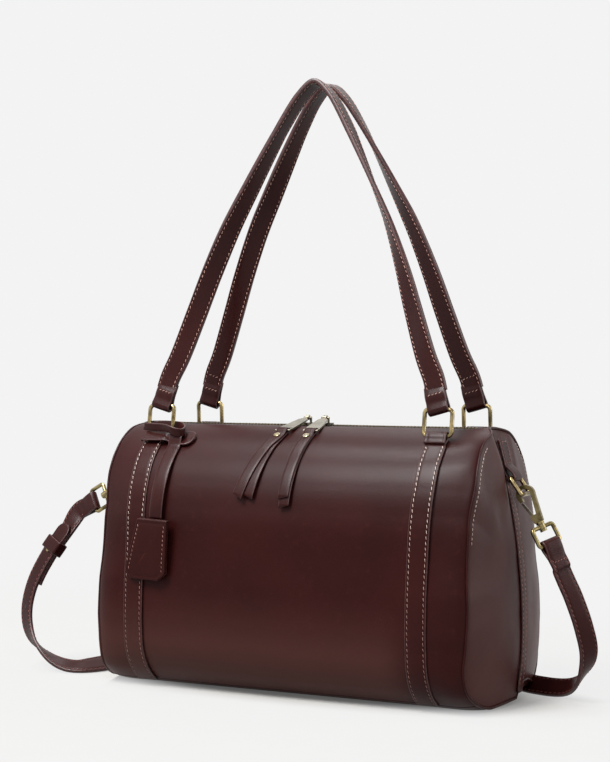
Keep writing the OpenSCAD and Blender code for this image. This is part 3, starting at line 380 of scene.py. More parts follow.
def stripSection(look, crown=0.0):
    # Rounded section as (across, up, kind); a row of stitches pulls the leather in at its inset
    half, h, seam = look["width"] / 2, look["thick"] / 2, look.get("inset", 0.0)
    r = min(stripRound["edge"], h * stripRound["share"])
    ins = [half - r]
    if seam:
        ins += [half - seam + stripRound["beside"], half - seam, half - seam - stripRound["beside"]]
    ins += [half * stripRound["middle"], 0.0]
    ins = sorted(set(round(u, 3) for u in ins + [-u for u in ins]))

    def top(u):
        dip = stripRound["groove"] * bell(half - abs(u), seam, stripRound["grooveWidth"]) if seam else 0.0
        return h + crown * (1 - (u / half) ** 2) - dip

    def corner(edge, angle):
        a = radians(angle)
        lift = (sin(a) > 0.01) - (sin(a) < -0.01)
        return edge * (half - r) + r * cos(a), (h - r) * lift + r * sin(a), 1
    section = [(u, top(u), 0) for u in ins] + [corner(1, a) for a in (60, 30, 0, -30, -60)]
    return section + [(u, -top(u), 0) for u in reversed(ins)] + [corner(-1, a) for a in (240, 210, 180, 150, 120)]


def strip(path, sides, section, shares=None, closed=False):
    # Sweeps the section along a path: across follows sides (or one side), up follows ahead x across
    rows, count = len(path), len(section)
    points, faces, kinds, frames = [], [], [], []
    for i, p in enumerate(path):
        ahead = (path[(i + 1) % rows] - path[i - 1]).normalized() if closed else heading(path, i)
        side = square(sides if isinstance(sides, Vector) else sides[i], ahead)
        up = ahead.cross(side)
        share = shares[i] if shares else 1.0
        frames.append((p, side, up))
        points += [p + side * (u * share) + up * v for u, v, _ in section]
    for i in range(rows if closed else rows - 1):
        n = (i + 1) % rows
        for j in range(count):
            k = (j + 1) % count
            faces.append([i * count + j, n * count + j, n * count + k, i * count + k])
            kinds.append(max(section[j][2], section[k][2]))
    if not closed:
        faces.append(list(range(count)))
        faces.append([(rows - 1) * count + j for j in range(count - 1, -1, -1)])
        kinds += [1, 1]
    return points, faces, kinds, frames


# A saddle stitch is a short rounded bar that dives into the leather at both ends: (place, lift, fatness)
stitchForm = [(-1, -0.5, 0.45), (-0.8, 0.25, 0.9), (-0.35, 0.5, 1), (0.35, 0.5, 1), (0.8, 0.25, 0.9), (1, -0.5, 0.45)]
stitchSides, stitchFlat = 6, 0.85


def stitchRow(path, ups, pitch, long, radius, slant=12.0):
    # ups is one direction away from the leather, or a list of them along the path
    lengths = arcLengths(path)
    count = max(1, int(lengths[-1] / pitch))
    first = (lengths[-1] - (count - 1) * pitch) / 2
    lean = radians(slant)
    shapes = []
    for k in range(count):
        s = first + k * pitch
        here = along(path, lengths, s)
        ahead = (along(path, lengths, s + 0.5) - along(path, lengths, s - 0.5)).normalized()
        up = (along(ups, lengths, s) if isinstance(ups, list) else ups).normalized()
        ahead = ahead * cos(lean) + up.cross(ahead).normalized() * sin(lean)
        side = up.cross(ahead).normalized()
        points = []
        for f, lift, fat in stitchForm:
            centre = here + ahead * (f * long / 2) + up * (lift * radius)
            for q in range(stitchSides):
                a = 2 * pi * q / stitchSides
                points.append(centre + side * (cos(a) * radius * fat) + up * (sin(a) * radius * fat * stitchFlat))
        faces = gridFaces(len(stitchForm), stitchSides, 0, True, True)
        faces += [list(range(stitchSides)), list(range(len(points) - 1, len(points) - stitchSides - 1, -1))]
        shapes.append((points, faces, []))
    return merged(shapes)


def edgeStitches(frames, look, faces=(1, -1), first=0, last=None):
    # A row along each edge; look gives the strip's and the stitches' sizes
    out, lift = look["width"] / 2 - look["inset"], look["thick"] / 2 - 0.1
    used = frames[first:last]
    return [stitchRow([p + side * (edge * out) + up * (face * lift) for p, side, up in used],
                      [up * face for _, _, up in used], look["pitch"], look["long"], look["thread"])
            for face in faces for edge in (-1, 1)]


def crossStitches(centre, across, up, reach, look):
    # A row across a strip, reach to either side; look is (pitch, long, radius, slant)
    return stitchRow([centre + across * (reach * k / 4) for k in range(-4, 5)], up, *look)


# Body: a barrel that sags between its ends. x runs along the bag, t round half its section from the top.
# Tables are (height, millimetres) or (t, share); pairs named Zone are where a change starts and ends.

body = {
    "barrelR": 75.5, "axisZ": 125.0, "baseR": 40.0, "endR": 30.0, "roundX": 130.16, "hide": 2.2,
    "slot": 5.7, "baseSeamZ": 5.0, "tipX": 164.0, "rakeR": 407.6, "puffR": 172.1, "bellyZ": 70.0,
    "sag": [[0, 0], [8, 0.2], [30, 1.3], [55, 2.4], [82, 1.4], [108, -0.6], [140, -2.5], [158, -2.0],
            [174, -0.5], [188, 0]],
    "endSag": 0.35, "endSagZone": (85, 150), "seamZone": (108, 146),
    "zipDrop": 2.9, "zipZone": (19, 6), "zipEndZone": (142, 122),
    "ripple": 0.55, "rippleSize": (62, 48), "rippleTop": 40, "rippleFoot": (60, 100),
    "reach": [[0, 3.5], [30, 4.0], [60, 3.0], [100, 2.0], [140, 1.5], [165, 0.5], [182, 0]], "leftReach": 0.55,
    "insetShare": [[0, 0.4], [40, 0.5], [118, 0.95], [165, 1.0], [200, 0.85], [235, 0.42], [262, 0.2], [310, 0.16]],
    "rearShare": 0.62, "rearZone": (120, 180),
    # at the end seams the panels move in (minus) or out, and the shoulders reach further along x
    "seamSag": [[0, 1.5], [8, 3.5], [14, 5.0], [25, 2.5], [40, 1.5], [85, 1.0], [100, -1.0], [115, -3.0], [130, -5.5],
                [150, -7.0], [165, -7.0], [178, -5.0], [188, -2.0], [193, 0]],
    "shoulder": [[95, 0], [112, 2.0], [124, 4.5], [135, 6.5], [150, 7.5], [165, 7.5], [176, 7.0], [186, 5.5],
                 [192, 4.5]],
    "shoulderSide": (8, 26), "shoulderEnd": (108, 144),
    "corner": 4.0, "cornerHeight": (135, 165), "cornerSide": (2, 18),
}
sheetSet = {
    "columns": 150, "rows": 2.4, "near": (0.12, 0.4, 0.8, 1.3, 2.0, 3.2), "nearEnd": (0.15, 0.5, 1.0, 1.7, 2.6),
    "gap": 0.25, "roll": 1.5, "topRoll": 1.3, "footRoll": 1.0, "drawn": 0.5, "drawnWidth": 2.2, "most": 1.7,
    "baseColumns": 90, "baseRows": 44, "baseNear": (0.12, 0.4, 0.8, 1.3, 2.2), "baseCrowd": 0.85,
}
topRun = body["barrelR"] * pi / 2
sideRun = body["axisZ"] - body["baseR"]
cornerRun = body["baseR"] * pi / 2
halfRun = topRun + sideRun + cornerRun + body["barrelR"] - body["baseR"]
seamRun = topRun + sideRun + body["baseR"] * (pi / 2 - acos((body["baseR"] - body["baseSeamZ"]) / body["baseR"]))


def sectionAt(t):
    # Place and outward direction on the half section, t from the top: (y, z), (ny, nz)
    R, r, axis = body["barrelR"], body["baseR"], body["axisZ"]
    if t < topRun:
        a = t / R
        return (R * sin(a), axis + R * cos(a)), (sin(a), cos(a))
    t -= topRun
    if t < sideRun:
        return (R, axis - t), (1.0, 0.0)
    t -= sideRun
    if t < cornerRun:
        a = t / r
        return (R - r + r * cos(a), r - r * sin(a)), (cos(a), -sin(a))
    return (R - r - (t - cornerRun), 0.0), (0.0, -1.0)


def endInset(x, t, side):
    # How far the surface turns in towards an end; the filled bag turns in less above and below
    q = max(0.0, min(body["endR"] - 1, abs(x) - body["roundX"]))
    share = lookUp(body["insetShare"], t)
    if side > 0:
        share = max(share, body["rearShare"] * ramp(t, *body["rearZone"]))
    return (body["endR"] - sqrt(body["endR"] ** 2 - q * q)) * share


def domeX(y, z, out=0.0):  # the raked and puffed end
    rho = body["rakeR"] - body["puffR"] + sqrt((body["puffR"] + out) ** 2 - y * y)
    return body["tipX"] - body["rakeR"] + sqrt(rho * rho - (z - body["bellyZ"]) ** 2)


seamCache = {}


def seamX(t, side):  # where a panel meets the end, found in a few rounds
    key = round(t, 3), side
    if key not in seamCache:
        (y, z), (ny, nz) = sectionAt(t)
        x = 150.0
        for _ in range(8):
            d = endInset(x, t, side)
            x = domeX(y - ny * d, z - nz * d)
        seamCache[key] = x
    return seamCache[key]


def sagAt(x, z):
    atSeam = soften(body["seamSag"], z) * ramp(abs(x), *body["seamZone"])
    return lookUp(body["sag"], z) * (1 + body["endSag"] * ramp(abs(x), *body["endSagZone"])) + atSeam


def reachAt(x, z):
    return soften(body["reach"], z) * (1 if x > 0 else body["leftReach"])


def shoulderAt(x, y, z, side):
    swell = reachAt(x, z) + soften(body["shoulder"], z) * ramp(abs(y), *body["shoulderSide"])
    if side < 0:
        swell += body["corner"] * ramp(z, *body["cornerHeight"]) * ramp(abs(y), *body["cornerSide"])
    return swell * ramp(abs(x), *body["shoulderEnd"])


def rippleAt(x, t, side):
    near, far = body["rippleFoot"]
    fade = ramp(t, 0, body["rippleTop"]) * ramp(halfRun - t, near, far)
    long, wide = body["rippleSize"]
    return body["ripple"] * fade * noise.noise(Vector((x / long, t / wide, 3.7 * side)))


def bodyPoint(x, t, side, out=0.0):
    # Point on the sagging body, out millimetres outside its surface
    (y, z), (ny, nz) = sectionAt(t)
    d = endInset(x, t, side) - out - rippleAt(x, t, side)
    reach = shoulderAt(x, y, z, side) * (1 if x > 0 else -1)
    low = body["zipDrop"] * ramp(t, *body["zipZone"]) * ramp(abs(x), *body["zipEndZone"])
    return Vector((x + reach, side * (y - ny * d + sagAt(x, z)), z - nz * d - low))


def panelSheet(side):
    # Grid over x and t with its edges rolled in
    ts = spread(body["slot"], seamRun, int((seamRun - body["slot"]) / sheetSet["rows"]), sheetSet["near"])
    shares = [i / sheetSet["columns"] * 2 - 1 for i in range(sheetSet["columns"] + 1)]
    outer, inner = [], []
    for t in ts:
        edge = seamX(t, side) - sheetSet["gap"]
        xs = [round(share * edge, 3) for share in shares]
        xs = sorted(set(xs + [round(m * (edge - d), 3) for m in (-1, 1) for d in sheetSet["nearEnd"]]))
        outerRow = []
        for x in xs:
            gapEnd = edge - abs(x)
            drop = edgeDrop(gapEnd, sheetSet["roll"]) + edgeDrop(t - body["slot"], sheetSet["topRoll"])
            drop += edgeDrop(seamRun - t, sheetSet["footRoll"])
            drop += sheetSet["drawn"] * bell(gapEnd, 0, sheetSet["drawnWidth"])
            outerRow.append(bodyPoint(x, t, side, -min(drop, sheetSet["most"])))
        outer.append(outerRow)
        inner.append([bodyPoint(x, t, side, -body["hide"]) for x in xs])
    columns = min(len(row) for row in outer)
    for rows in (outer, inner):
        for i, row in enumerate(rows):
            if len(row) > columns:  # rounding can leave a spare column in the middle
                rows[i] = row[:columns // 2] + row[len(row) - (columns - columns // 2):]
    return slab(outer, inner, flip=side < 0)


def basePanel():
    # v runs across the base from seam to seam
    half = halfRun - seamRun
    outer, inner = [], []
    for v in spread(-half, half, sheetSet["baseRows"], sheetSet["baseNear"]):
        t, side = halfRun - abs(v), 1 if v >= 0 else -1
        edge = seamX(t, 1 if v > 0 else -1) - sheetSet["gap"]
        outerRow, innerRow = [], []
        for i in range(sheetSet["baseColumns"] + 1):
            share = i / sheetSet["baseColumns"] * 2 - 1
            x = edge * (abs(share) ** sheetSet["baseCrowd"]) * (1 if share > 0 else -1)
            drop = edgeDrop(edge - abs(x), sheetSet["roll"]) + edgeDrop(half - abs(v), sheetSet["footRoll"])
            outerRow.append(bodyPoint(x, t, side, -min(sheetSet["most"], drop)))
            innerRow.append(bodyPoint(x, t, side, -body["hide"]))
        outer.append(outerRow)
        inner.append(innerRow)
    return slab(outer, inner)


for name, side in (("front_panel", -1), ("back_panel", 1)):
    addLeather(name + "_leather", panelSheet(side), bodyLeather, "bag", name)
addLeather("base_panel_leather", basePanel(), bodyLeather, "bag", "base_panel")
print("panels made")


# End panels: two leather halves that puff out, joined below a cover strip

endPanel = {
    "rings": 30, "nearRings": (0, 0.003, 0.008, 0.016, 0.028, 0.045), "crowd": 1.05, "rows": 130,
    "poleZ": 98.0, "reachFade": 1.4, "roll": 1.6, "radius": 70,
    "pucker": 0.9, "puckerSize": (26, 34), "puckerHeight": (12, 72), "bulgeAcross": (20, 9), "bulgeUp": (168, 20),
    "valley": 0.7, "valleyWidth": 6.5, "valleyHeight": (6, 18), "coverSink": 0.6,
    "coverTopZ": 186.0, "coverLowZ": 8.0, "coverSteps": 90, "coverOut": 0.35,
    "welt": 1.0, "weltSink": 0.55, "weltSteps": 170, "weltSides": 8, "weltCentre": (120, 0, 100),
    "row": (3.3, 2.0, 0.2), "rowAt": 0.042, "rowZone": (0.3, 1.05),
}
coverSet = {"width": 9.0, "thick": 1.4, "inset": 1.5, "pitch": 3.4, "long": 2.1, "thread": 0.24}


def domePoint(end, side, t, f, out=0.0):
    # f is 0 on the seam and 1 in the middle of the end
    (seamY, seamZ), (ny, nz) = sectionAt(t)
    x = seamX(t, side)
    d = endInset(x, t, side)
    y = (seamY - ny * d) * (1 - f)
    z = seamZ - nz * d
    z += (endPanel["poleZ"] - z) * f
    fade = 1 - ramp(f * endPanel["reachFade"], 0, 1)
    reach = shoulderAt(x * end, seamY, seamZ, side) * fade + reachAt(end, z) * (1 - fade)
    wide, high = endPanel["puckerSize"]
    pucker = noise.noise(Vector((y / wide, z / high, 5.1 * end + side)))
    pucker *= ramp(f, 0, 0.2) * ramp(z, *endPanel["puckerHeight"])
    bulge = bell(y, *endPanel["bulgeAcross"]) * bell(z, *endPanel["bulgeUp"]) * ramp(f, 0, 1 / 6)
    valley = endPanel["valley"] * bell(y, 0, endPanel["valleyWidth"]) * ramp(z, *endPanel["valleyHeight"])
    swell = reach + endPanel["pucker"] * (pucker + bulge) - valley
    return Vector((end * (domeX(y, z, out) + swell), side * (y + sagAt(x, seamZ) * fade), z))


def endHalf(end, side):
    crowded = [(i / endPanel["rings"]) ** endPanel["crowd"] for i in range(1, endPanel["rings"] + 1)]
    near = endPanel["nearRings"]
    fs = list(near) + [near[-1] + (1 - near[-1]) * f for f in crowded]
    outer, inner = [], []
    for t in spread(0.0, halfRun, endPanel["rows"]):
        row = []
        for f in fs:
            far = f * endPanel["radius"]
            drop = edgeDrop(far, endPanel["roll"]) + sheetSet["drawn"] * bell(far, 0, sheetSet["drawnWidth"])
            row.append(domePoint(end, side, t, f, -min(endPanel["roll"], drop)))
        outer.append(row)
        inner.append([domePoint(end, side, t, f, -body["hide"]) for f in fs])
    return slab(outer, inner, flip=(end * side > 0))


def coverPath(end):
    steps, low, high = endPanel["coverSteps"], endPanel["coverLowZ"], endPanel["coverTopZ"]
    path = []
    for i in range(steps + 1):
        z = low + (high - low) * i / steps
        x = domeX(0, z, coverSet["thick"] / 2 + endPanel["coverOut"]) + reachAt(end, z)
        path.append(Vector((end * (x - endPanel["coverSink"] * ramp(z, *endPanel["valleyHeight"])), 0, z)))
    return path


def piping(end):
    # A thin welt in the seam round the end
    steps, count, r = endPanel["weltSteps"], endPanel["weltSides"], endPanel["welt"]
    front, rear = ([domePoint(end, side, halfRun * i / steps, 0.0) for i in range(steps + 1)] for side in (-1, 1))
    loop = front + rear[::-1][1:-1]
    x, y, z = endPanel["weltCentre"]
    centre = Vector((end * x, y, z))
    points = []
    for i, p in enumerate(loop):
        ahead = (loop[(i + 1) % len(loop)] - loop[i - 1]).normalized()
        up = square(p - centre, ahead)
        across = ahead.cross(up)
        for q in range(count):
            a = 2 * pi * q / count
            points.append(p - up * endPanel["weltSink"] + across * (cos(a) * r) + up * (sin(a) * r))
    faces = gridFaces(len(loop) + 1, count, 0, False, True)
    return points, [[i % len(points) for i in face] for face in faces], []


def seamStitches(end, side):
    # A few bright stitches near the top of the seam, on the end panel's side
    low, high = endPanel["rowZone"]
    ts = [topRun * (low + (high - low) * i / 30) for i in range(31)]
    surface, path, above = ([domePoint(end, side, t, endPanel["rowAt"], out) for t in ts] for out in (0, 0.05, 1))
    return stitchRow(path, [(b - a).normalized() for a, b in zip(surface, above)], *endPanel["row"])


for end, endName in ends:
    for side, sideName in flanks:
        node = endName + "_" + sideName + "_gusset"
        addLeather(node + "_leather", endHalf(end, side), endLeather, "bag", node)
for end, endName in ends:
    shape = strip(coverPath(end), Vector((0, end, 0)),
                  stripSection(coverSet, 0.1))
    cover = addLeather(endName + "_end_cover_strip", shape, endLeather, "bag", endName + "_end_cover")
    outside = 1 if shape[3][0][2].x * end > 0 else -1
    sew(endName + "_end_cover_stitches", edgeStitches(shape[3], coverSet, (outside,), 2, -2), endThread, cover)
    addPiece(endName + "_end_piping", piping(end), [trimLeather], "bag", endName + "_end_welt")
    sew(endName + "_end_seam_stitches", [seamStitches(end, side) for side in (-1, 1)], paleThread,
        bpy.data.objects[endName + "_front_gusset_leather"])
print("ends made")


# Lining: one thin bag inside the leather

liningSet = {
    "gap": 0.15, "thick": 0.7, "start": 0.2, "rows": 70, "sideSteps": 48, "endSteps": (0.05, 0.15, 0.35, 0.6, 0.9),
    "short": 1.0, "sink": 0.3, "narrow": 0.97,
}


def liningPoint(end, share, side, t, depth):
    # end -1 or 1 is on that end panel, 0 on the long sides
    if end:
        p = domePoint(end, side, t, share, -depth)
        return Vector((p.x, p.y * liningSet["narrow"], p.z))
    return bodyPoint(share * (seamX(t, side) - depth - liningSet["short"]), t, side, -depth - liningSet["sink"])


def liningPiece():
    ts = spread(body["slot"] + liningSet["start"], halfRun, liningSet["rows"])
    order = [(-1, t) for t in ts] + [(1, t) for t in reversed(ts[:-1])]
    steps = liningSet["sideSteps"]
    stations = [(-1, f) for f in reversed(liningSet["endSteps"])] + [(0, k / steps * 2 - 1) for k in range(steps + 1)]
    stations += [(1, f) for f in liningSet["endSteps"]]
    gap = body["hide"] + liningSet["gap"]
    outer, inner = ([[liningPoint(end, share, side, t, depth) for side, t in order] for end, share in stations]
                    for depth in (gap, gap + liningSet["thick"]))
    return slab(outer, inner, flip=True)


points, faces, _ = liningPiece()
addPiece("lining_cloth", (points, faces, []), [liningCloth], "bag", "lining")
print("lining made")


# Bands: each runs up the body, round the bar of its ring and back down as a short tab

ring = {"x": 116.0, "y": 38.397, "z": 194.27, "barAngle": 29.0, "height": 19.3, "frontLean": -9.09, "rearLean": 2.79}
bandSet = {
    "width": 16.4, "thick": 1.8, "foldR": 2.8, "inset": 2.1, "pitch": 3.9, "long": 2.4, "thread": 0.2,
    "lap": 0.6, "leaveAngle": 37.5, "steps": 110, "lift": 0.05,
    # (angle from the top, distance from the barrel's axis) before and after the ring's bar
    "rise": [(35, 76.45), (32.5, 76.45), (30.5, 76.45)],
    "tab": [(29.0, 82.0), (30.4, 81.6), (31.6, 80.3), (32.6, 79.2), (33.6, 78.6), (34.6, 78.35)],
}


def onBarrel(angle, radius, x, side=-1):
    # Polar place on the top half, angle from the top, side -1 at the front
    a = radians(angle)
    return Vector((x, side * radius * sin(a), body["axisZ"] + radius * cos(a)))


def wrap(angle, radius, x, foldR, turns, side=-1):
    # Round a bar at a place on the barrel: a turn of 0 faces the barrel's axis and pi/2 the top of the bag
    a, bar = radians(angle), onBarrel(angle, radius, x, side)
    inward = Vector((0, -side * sin(a), -cos(a)))
    upward = Vector((0, -side * cos(a), sin(a)))
    return [bar + (inward * cos(turn) + upward * sin(turn)) * foldR for turn in turns]


def bandPath(x, side):
    low, high = seamRun - bandSet["lap"], body["barrelR"] * radians(bandSet["leaveAngle"])
    steps, out = bandSet["steps"], bandSet["thick"] / 2 + bandSet["lift"]
    path = [bodyPoint(x, low + (high - low) * i / steps, side, out) for i in range(steps + 1)]
    path += [onBarrel(angle, radius, x, side) for angle, radius in bandSet["rise"]]
    barR = hypot(ring["y"], ring["z"] - body["axisZ"])
    path += wrap(ring["barAngle"], barR, x, bandSet["foldR"], [pi * k / 12 for k in range(1, 12)], side)
    return path + [onBarrel(angle, radius, x, side) for angle, radius in bandSet["tab"]]


for side, sideName in flanks:
    for end, endName in ends:
        node = sideName + "_" + endName + "_band"
        shape = strip(bandPath(end * ring["x"], side), Vector((side, 0, 0)), stripSection(bandSet))
        band = addLeather(node + "_strip", shape, trimLeather, "bag", node)
        outside = 1 if shape[3][40][2].y * side > 0 else -1
        rows = edgeStitches(shape[3], bandSet, (outside,), 1, bandSet["steps"] + 2)
        sew(node + "_stitches", rows, paleThread if side < 0 else softThread, band)
print("bands made")


# Handles: flat against their rings below, turning edgeways towards the top

handleSet = {
    "thick": 3.6, "width": 16.4, "inset": 2.0, "pitch": 3.7, "long": 2.3, "thread": 0.26,
    # half of the arch as shares of the ring's x and of the rise, from the ring to the top
    "shares": [[0.978, 0.05], [0.95, 0.093], [0.885, 0.16], [0.79, 0.285], [0.69, 0.42], [0.575, 0.555],
               [0.455, 0.67], [0.325, 0.79], [0.215, 0.885], [0.11, 0.96], [0, 1]],
    "frontRise": 249.07, "frontTwist": [[0.05, 0], [0.34, 28], [0.59, 64], [0.85, 90], [1, 90]],
    "rearRise": 246.01, "rearTwist": [[0.05, 0], [0.34, 15], [0.59, 37], [0.85, 75], [1, 90]],
    "flatZone": (0.055, 0.215), "steps": 9,
    # the fold round the ring's upper bar as (y, z): its outer leg, the turn, its inner leg
    "fold": {"width": 16.0, "thick": 1.75}, "foldLean": 16.0, "foldR": 2.8, "foldOut": 0.9, "foldLap": 6.0,
    "outerLeg": [(1.0, 9.0), (1.7, 5.0)],
    "innerLeg": [(-1.9, 5.0), (-2.1, 8.0), (-2.0, 11.0), (-1.2, 14.0), (-0.5, 17.0)],
    "foldRow": (2.9, 1.9, 0.24, 25), "foldRowAt": (-2.98, 11.0), "foldRowInset": 2.2,
    "rearRow": (2.9, 1.9, 0.22, 25), "rearRowUp": 8.5, "rearRowInset": 2.4, "rearRowLift": 0.08,
}


def handleStrap(rise, twist):
    half = [Vector((s * ring["x"], 0, r * rise)) for s, r in handleSet["shares"]]
    path = spline([Vector((-p.x, p.y, p.z)) for p in half] + half[-2::-1], handleSet["steps"])
    sides = []
    for i, p in enumerate(path):
        turn = radians(lookUp(twist, p.z / rise))
        ahead = heading(path, i)
        flat = Vector((1 if p.x < 0 else -1, 0, 0))
        inward = flat.lerp(Vector((ahead.z, 0, -ahead.x)), ramp(p.z / rise, *handleSet["flatZone"])).normalized()
        sides.append(inward * cos(turn) + Vector((0, 1, 0)) * sin(turn))
    return path, sides


def handleFold(end, bottom):
    # Returns the fold and the row of stitches that closes it
    hinge = Vector((end * ring["x"], 0, 0))
    lean = Matrix.Rotation(radians(-end * handleSet["foldLean"]), 3, "Y")
    out, across = handleSet["foldOut"], lean @ Vector((1, 0, 0))
    fold = [(out, bottom + handleSet["foldLap"]), (out, bottom)] + handleSet["outerLeg"]
    fold += arc(handleSet["foldR"], 20, -20, 12) + handleSet["innerLeg"]
    path = [hinge + lean @ p for p in spline([Vector((0, y, z)) for y, z in fold], 3)]
    row = crossStitches(hinge + lean @ Vector((0, *handleSet["foldRowAt"])), across, Vector((0, -1, 0)),
                        handleSet["width"] / 2 - handleSet["foldRowInset"], handleSet["foldRow"])
    return strip(path, across, stripSection(handleSet["fold"], 0.1)), row


def rearRows(end, frames, bottom):
    # A second row higher up, where the rear strap is doubled
    height = bottom + handleSet["rearRowUp"]
    p, across, up = min((f for f in frames if f[0].x * end > 0), key=lambda f: abs(f[0].z - height))
    lift = handleSet["thick"] / 2 + handleSet["rearRowLift"]
    reach = handleSet["width"] / 2 - handleSet["rearRowInset"]
    return [crossStitches(p + up * face * lift, across, up * face, reach, handleSet["rearRow"]) for face in (1, -1)]


def moved(matrix, shape):
    return ([matrix @ p for p in shape[0]],) + tuple(shape[1:3])


for side, name in flanks:
    lean = Matrix.Rotation(radians(ring[name + "Lean"]), 4, "X")
    place = Matrix.Translation((0, side * ring["y"], ring["z"])) @ lean @ Matrix.Translation((0, 0, ring["height"]))
    rise = handleSet[name + "Rise"]
    bottom = handleSet["shares"][0][1] * rise
    path, sides = handleStrap(rise, handleSet[name + "Twist"])
    arch = strip(path, sides, stripSection(handleSet, 0.15))
    shapes, rows = [arch], edgeStitches(arch[3], handleSet, first=1, last=-1)
    for end in (-1, 1):
        fold, row = handleFold(end, bottom)
        shapes.append(fold)
        rows += [row] + (rearRows(end, arch[3], bottom) if side > 0 else [])
    node = name + "_handle"
    handle = addLeather(node + "_strap", moved(place, merged(shapes)), strapLeather, node, node)
    sew(node + "_stitches", [moved(place, row) for row in rows], endThread, handle)
print("handles made")


# Leather pulls: a strip folded round the slot bar of each pull plate

pullSet = {
    "width": 8.4, "thick": 1.3, "angle": 24.95, "barR": 78.15, "foldR": 1.68, "run": 62.0, "step": 2.0, "x": 11.67,
    "innerR": 76.5, "outerR": 77.9, "rise": 1.95, "riseZone": (6.5, 0), "bendZone": (0, 18), "cut": 0.28,
    # how far the outer and the inner leg drift sideways per millimetre, and how many steps longer the inner one is
    "left": (0.27, 0.14, 0), "right": (-0.035, -0.02, 3),
}


def pullStrip(end, outerDrift, innerDrift, more):
    step, x = pullSet["step"], end * pullSet["x"]
    count = int(pullSet["run"] / step)

    def leg(s, radius, drift):
        angle = pullSet["angle"] + degrees(s / body["barrelR"])
        return onBarrel(angle, radius, x + end * drift * s * ramp(s, *pullSet["bendZone"]))
    path = [leg(k * step, pullSet["innerR"], innerDrift) for k in range(count + more, 0, -1)]
    path += wrap(pullSet["angle"], pullSet["barR"], x, pullSet["foldR"], [pi * k / 10 for k in range(11)])
    path += [leg(k * step, pullSet["outerR"] + pullSet["rise"] * ramp(k * step, *pullSet["riseZone"]), outerDrift)
             for k in range(1, count + 1)]
    section = stripSection(pullSet, 0.05)
    points, faces, kinds, _ = strip(path, Vector((1, 0, 0)), section)
    for row in (0, len(path) - 1):  # the ends are cut at a slant
        ahead = heading(path, row) * (1 if row else -1)
        for j, (u, _, _) in enumerate(section):
            points[row * len(section) + j] += ahead * (u * pullSet["cut"] * -end)
    return points, faces, kinds


for end, name in ends:
    node = name + "_pull_leather"
    addLeather(node + "_strip", pullStrip(end, *pullSet[name]), trimLeather, node, node)
print("pulls made")


# Hanging tag: a collar round the ring's foot, the strap and the tag

collarSet = {
    # the upper wrap stands in front of the ring's bar and over the strap, then runs back behind the ring
    "upper": [(-129.0, -39.5, 197.4), (-127.6, -42.6, 197.3), (-123.5, -44.4, 197.2), (-117.0, -46.0, 197.0),
              (-109.5, -47.4, 196.8), (-103.0, -50.0, 196.4), (-98.0, -52.2, 195.2), (-93.5, -51.6, 193.8),
              (-91.0, -48.6, 193.4), (-91.4, -44.0, 194.2), (-95.0, -38.6, 196.2), (-101.0, -34.6, 197.8),
              (-112.0, -33.0, 198.4), (-123.0, -33.2, 198.4), (-128.0, -35.6, 198.0)],
    "upperStrip": {"width": 6.2, "thick": 1.3}, "flare": 0.25,
    # the lower wrap lies on the band, goes under the strap and ends as a round tongue
    "start": -9.6, "steps": 45, "lowerStrip": {"width": 11.5, "thick": 1.3}, "tongueWide": 16.5,
    "tongueR": 7.0, "tongueLeast": 0.12, "wideZone": (12, 21),
    "down": 9.2, "downEase": 1.4, "downZone": (0, 24), "surfaceR": 76.5, "runR": 79.0,
    "lift": 4.0, "liftZone": (-10.6, -9.0), "settle": 2.9, "settleZone": (9.5, 18.5),
}


def upperWrap():
    loop = spline(collarSet["upper"] + collarSet["upper"][:1], 4)[:-1]
    middle = sum(loop, Vector()) / len(loop)
    widths = [Vector((0, -collarSet["flare"] if p.y < middle.y else collarSet["flare"], 1)) for p in loop]
    return strip(loop, widths, stripSection(collarSet["upperStrip"], 0.1), closed=True)


def lowerWrap():
    def at(a, b, lift):  # a along the bag from the band, b down the barrel from the ring's bar
        angle = ring["barAngle"] + degrees(b / collarSet["runR"])
        return onBarrel(angle, collarSet["surfaceR"] + lift, a - ring["x"])
    path, shares = [], []
    for k in range(collarSet["steps"]):
        a = collarSet["start"] + k
        lift = collarSet["lift"] * ramp(a, *collarSet["liftZone"])
        lift -= collarSet["settle"] * ramp(a, *collarSet["settleZone"])
        path.append(at(a, collarSet["down"] - collarSet["downEase"] * ramp(a, *collarSet["downZone"]), lift))
        wide = 1 + (collarSet["tongueWide"] / collarSet["lowerStrip"]["width"] - 1) * ramp(a, *collarSet["wideZone"])
        tip = rounded((collarSet["steps"] - 1 - k) / collarSet["tongueR"])
        shares.append(max(collarSet["tongueLeast"], wide * tip))
    return strip(path, at(0, 7, 0) - at(0, 8, 0), stripSection(collarSet["lowerStrip"], 0.1), shares)


addLeather("tag_collar", merged([upperWrap(), lowerWrap()]), trimLeather, "bag", "tag_loop")

tagSet = {
    "x": -96.0, "drift": -1.2, "pivotY": 45.57, "pivotZ": 190.3, "strap": {"width": 11.0, "thick": 1.5}, "foldR": 2.6,
    "drop": 68.0, "dropSteps": 40, "restR": 76.9, "restZone": (0, 1 / 7), "bow": 0.5,
    "tagY": -80.1, "topZ": 129.6, "lean": 2.5, "skew": 0.12, "topWide": 26.0, "lowWide": 35.0, "high": 46.0,
    "thick": 4.6, "cut": 5.8, "cornerR": 0.9, "edgeStep": 3.0, "middle": 0.52,
    # (share of the outline, share of half the thickness) from the wall to the middle, with the sewn groove
    "profile": [(1.0, 0.0), (1.0, 0.62), (0.985, 0.86), (0.955, 0.93), (0.915, 0.9), (0.885, 0.82), (0.855, 0.92),
                (0.78, 1.0), (0.55, 1.1), (0.3, 1.15), (0.08, 1.15)],
    "sewnInset": 2.3, "sewnDepth": 0.86, "sewnFrom": 0.07, "sewnRun": 0.8, "row": (3.3, 2.0, 0.22),
}


